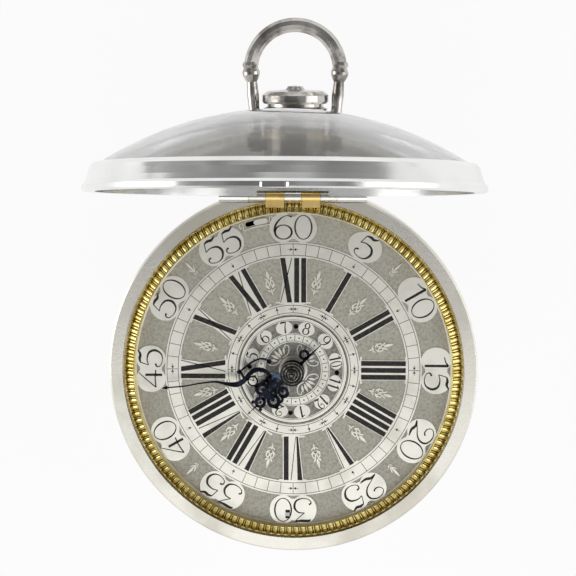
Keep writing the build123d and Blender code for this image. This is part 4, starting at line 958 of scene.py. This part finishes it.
# The boss is turned with rings, and dark dirt sits between them
BOSS_RINGS = 0.95
BOSS_DARK = (0.09, 0.087, 0.08)
BOSS_BRIGHT = (0.34, 0.33, 0.31)
BOSS_DIRT = (0.03, 0.03, 0.028)
boss_steel = Shader("boss steel", {"Metallic": 1.0})
x, y = boss_steel.axes()[:2]
phase = (x * x + y * y) ** 0.5 * (2 * math.pi / (BOSS_RINGS * MM))
ripple = boss_steel.add("ShaderNodeMath", {"operation": "SINE"}, {0: phase})
turned_ring = boss_steel.step(ripple, -0.3, 0.8)
rubbed = boss_steel.step(boss_steel.noise(1.3, 4.0), 0.38, 0.66)
ring_steel = boss_steel.blend(rubbed, BOSS_DARK, BOSS_BRIGHT)
boss_steel.set({"Base Color": boss_steel.blend(turned_ring, BOSS_DIRT, ring_steel)})
boss_steel.set({"Roughness": 0.38 - turned_ring * 0.12})
boss_steel.bump(ripple, 0.12)
dress(boss_steel, "hand_boss")
dress(blued, "hour_hand", "minute_hand")


# Studio
# The clock lies on a plain pale table under soft lamps in a pale room, and the camera looks down on
# its dial from a little beyond the 12, as in the photograph.
REACH = 3.0
floor_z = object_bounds()[0][2]
table_mesh = bpy.data.meshes.new("table")
corners = [(-REACH, -REACH), (REACH, -REACH), (REACH, REACH), (-REACH, REACH)]
table_mesh.from_pydata([(x, y, floor_z) for x, y in corners], [], [(0, 1, 2, 3)])
table = bpy.data.objects.new("table", table_mesh)
bpy.context.scene.collection.objects.link(table)
paper = Shader("pale table", {"Base Color": (0.93, 0.93, 0.93), "Roughness": 0.9})

# To the camera, and to rays that silver or glass sends on, the table looks nearly white, but it
# keeps a share of its own shading and with it the clock's shadow
WHITE_SHARE = 0.9
white = paper.add("ShaderNodeEmission", {}, {"Color": (1.0, 1.0, 1.0), "Strength": 1.0})
seen = paper.add("ShaderNodeLightPath", {}, {}, "Is Camera Ray")
for name in ("Is Glossy Ray", "Is Transmission Ray"):
    ray = paper.add("ShaderNodeLightPath", {}, {}, name)
    seen = paper.add("ShaderNodeMath", {"operation": "MAXIMUM"}, {0: seen, 1: ray})
shaded = Value(paper, paper.surface.outputs[0])
shown = paper.add("ShaderNodeMixShader", {}, {0: seen * WHITE_SHARE, 1: shaded, 2: white})
paper.feed(paper.tree.nodes["Material Output"].inputs["Surface"], shown)
table_mesh.materials.append(paper.material)

# The room is brighter at the horizon than overhead, and its walls are not even, which gives the
# polished silver something to mirror
CEILING = 0.32
HORIZON = 0.8
WALL_DARK = 0.45
WALL_BRIGHT = 1.2
world = bpy.data.worlds.new("studio")
bpy.context.scene.world = world
room = Nodes(world)
smoothly = {"interpolation_type": "SMOOTHSTEP"}
heading = room.add("ShaderNodeTexCoord", {}, {}, "Generated")
upward = room.add("ShaderNodeSeparateXYZ", {}, {0: heading}, "Z")
span = {"From Min": 0.1, "To Min": HORIZON, "To Max": CEILING}
fade = room.add("ShaderNodeMapRange", smoothly, {"Value": upward, **span})
walls = room.add("ShaderNodeTexNoise", {}, {"Vector": heading, "Scale": 2.6, "Detail": 0.5})
span = {"From Min": 0.4, "From Max": 0.6, "To Min": WALL_DARK, "To Max": WALL_BRIGHT}
contrast = room.add("ShaderNodeMapRange", smoothly, {"Value": walls, **span})
background = room.tree.nodes["Background"]
room.feed(background.inputs["Color"], (1.0, 1.0, 1.0))
room.feed(background.inputs["Strength"], fade * contrast)


def aim(thing, place, target):
    """Puts a lamp or camera here, in millimetres, level from side to side, and points it there."""
    dx, dy, dz = [t - p for t, p in zip(target, place)]
    far = math.sqrt(dx * dx + dy * dy + dz * dz)
    thing.location = [p * MM for p in place]
    thing.rotation_euler = (math.asin(dy / far), math.atan2(-dx, -dz), 0)
    bpy.context.scene.collection.objects.link(thing)


# Each lamp: where it stands, how wide its soft box is, and how bright its face is beside white
LAMPS = {
    "front lamp": ((0, -470, 790), 800, 1.1),
    "left lamp": ((-720, 40, 260), 480, 2.4),
    "right lamp": ((680, 20, 380), 620, 1.5),
}
CLOCK_MIDDLE = (0, 10, 40)
for name, (place, size, brightness) in LAMPS.items():
    glow = bpy.data.lights.new(name, "AREA")
    glow.size = size * MM
    glow.energy = brightness * math.pi * (size * MM) ** 2
    aim(bpy.data.objects.new(name, glow), place, CLOCK_MIDDLE)

CAMERA_AT = (29.9, 115.5, 740.2)
CAMERA_AIM = (-1.6, 27.1, 48.0)
LENS_MM = 134.8
lens = bpy.data.cameras.new("camera")
lens.lens = LENS_MM
lens.sensor_width = 36.0
lens.clip_end = 20.0
camera = bpy.data.objects.new("camera", lens)
aim(camera, CAMERA_AT, CAMERA_AIM)
bpy.context.scene.camera = camera
bpy.context.scene.view_settings.view_transform = "Standard"
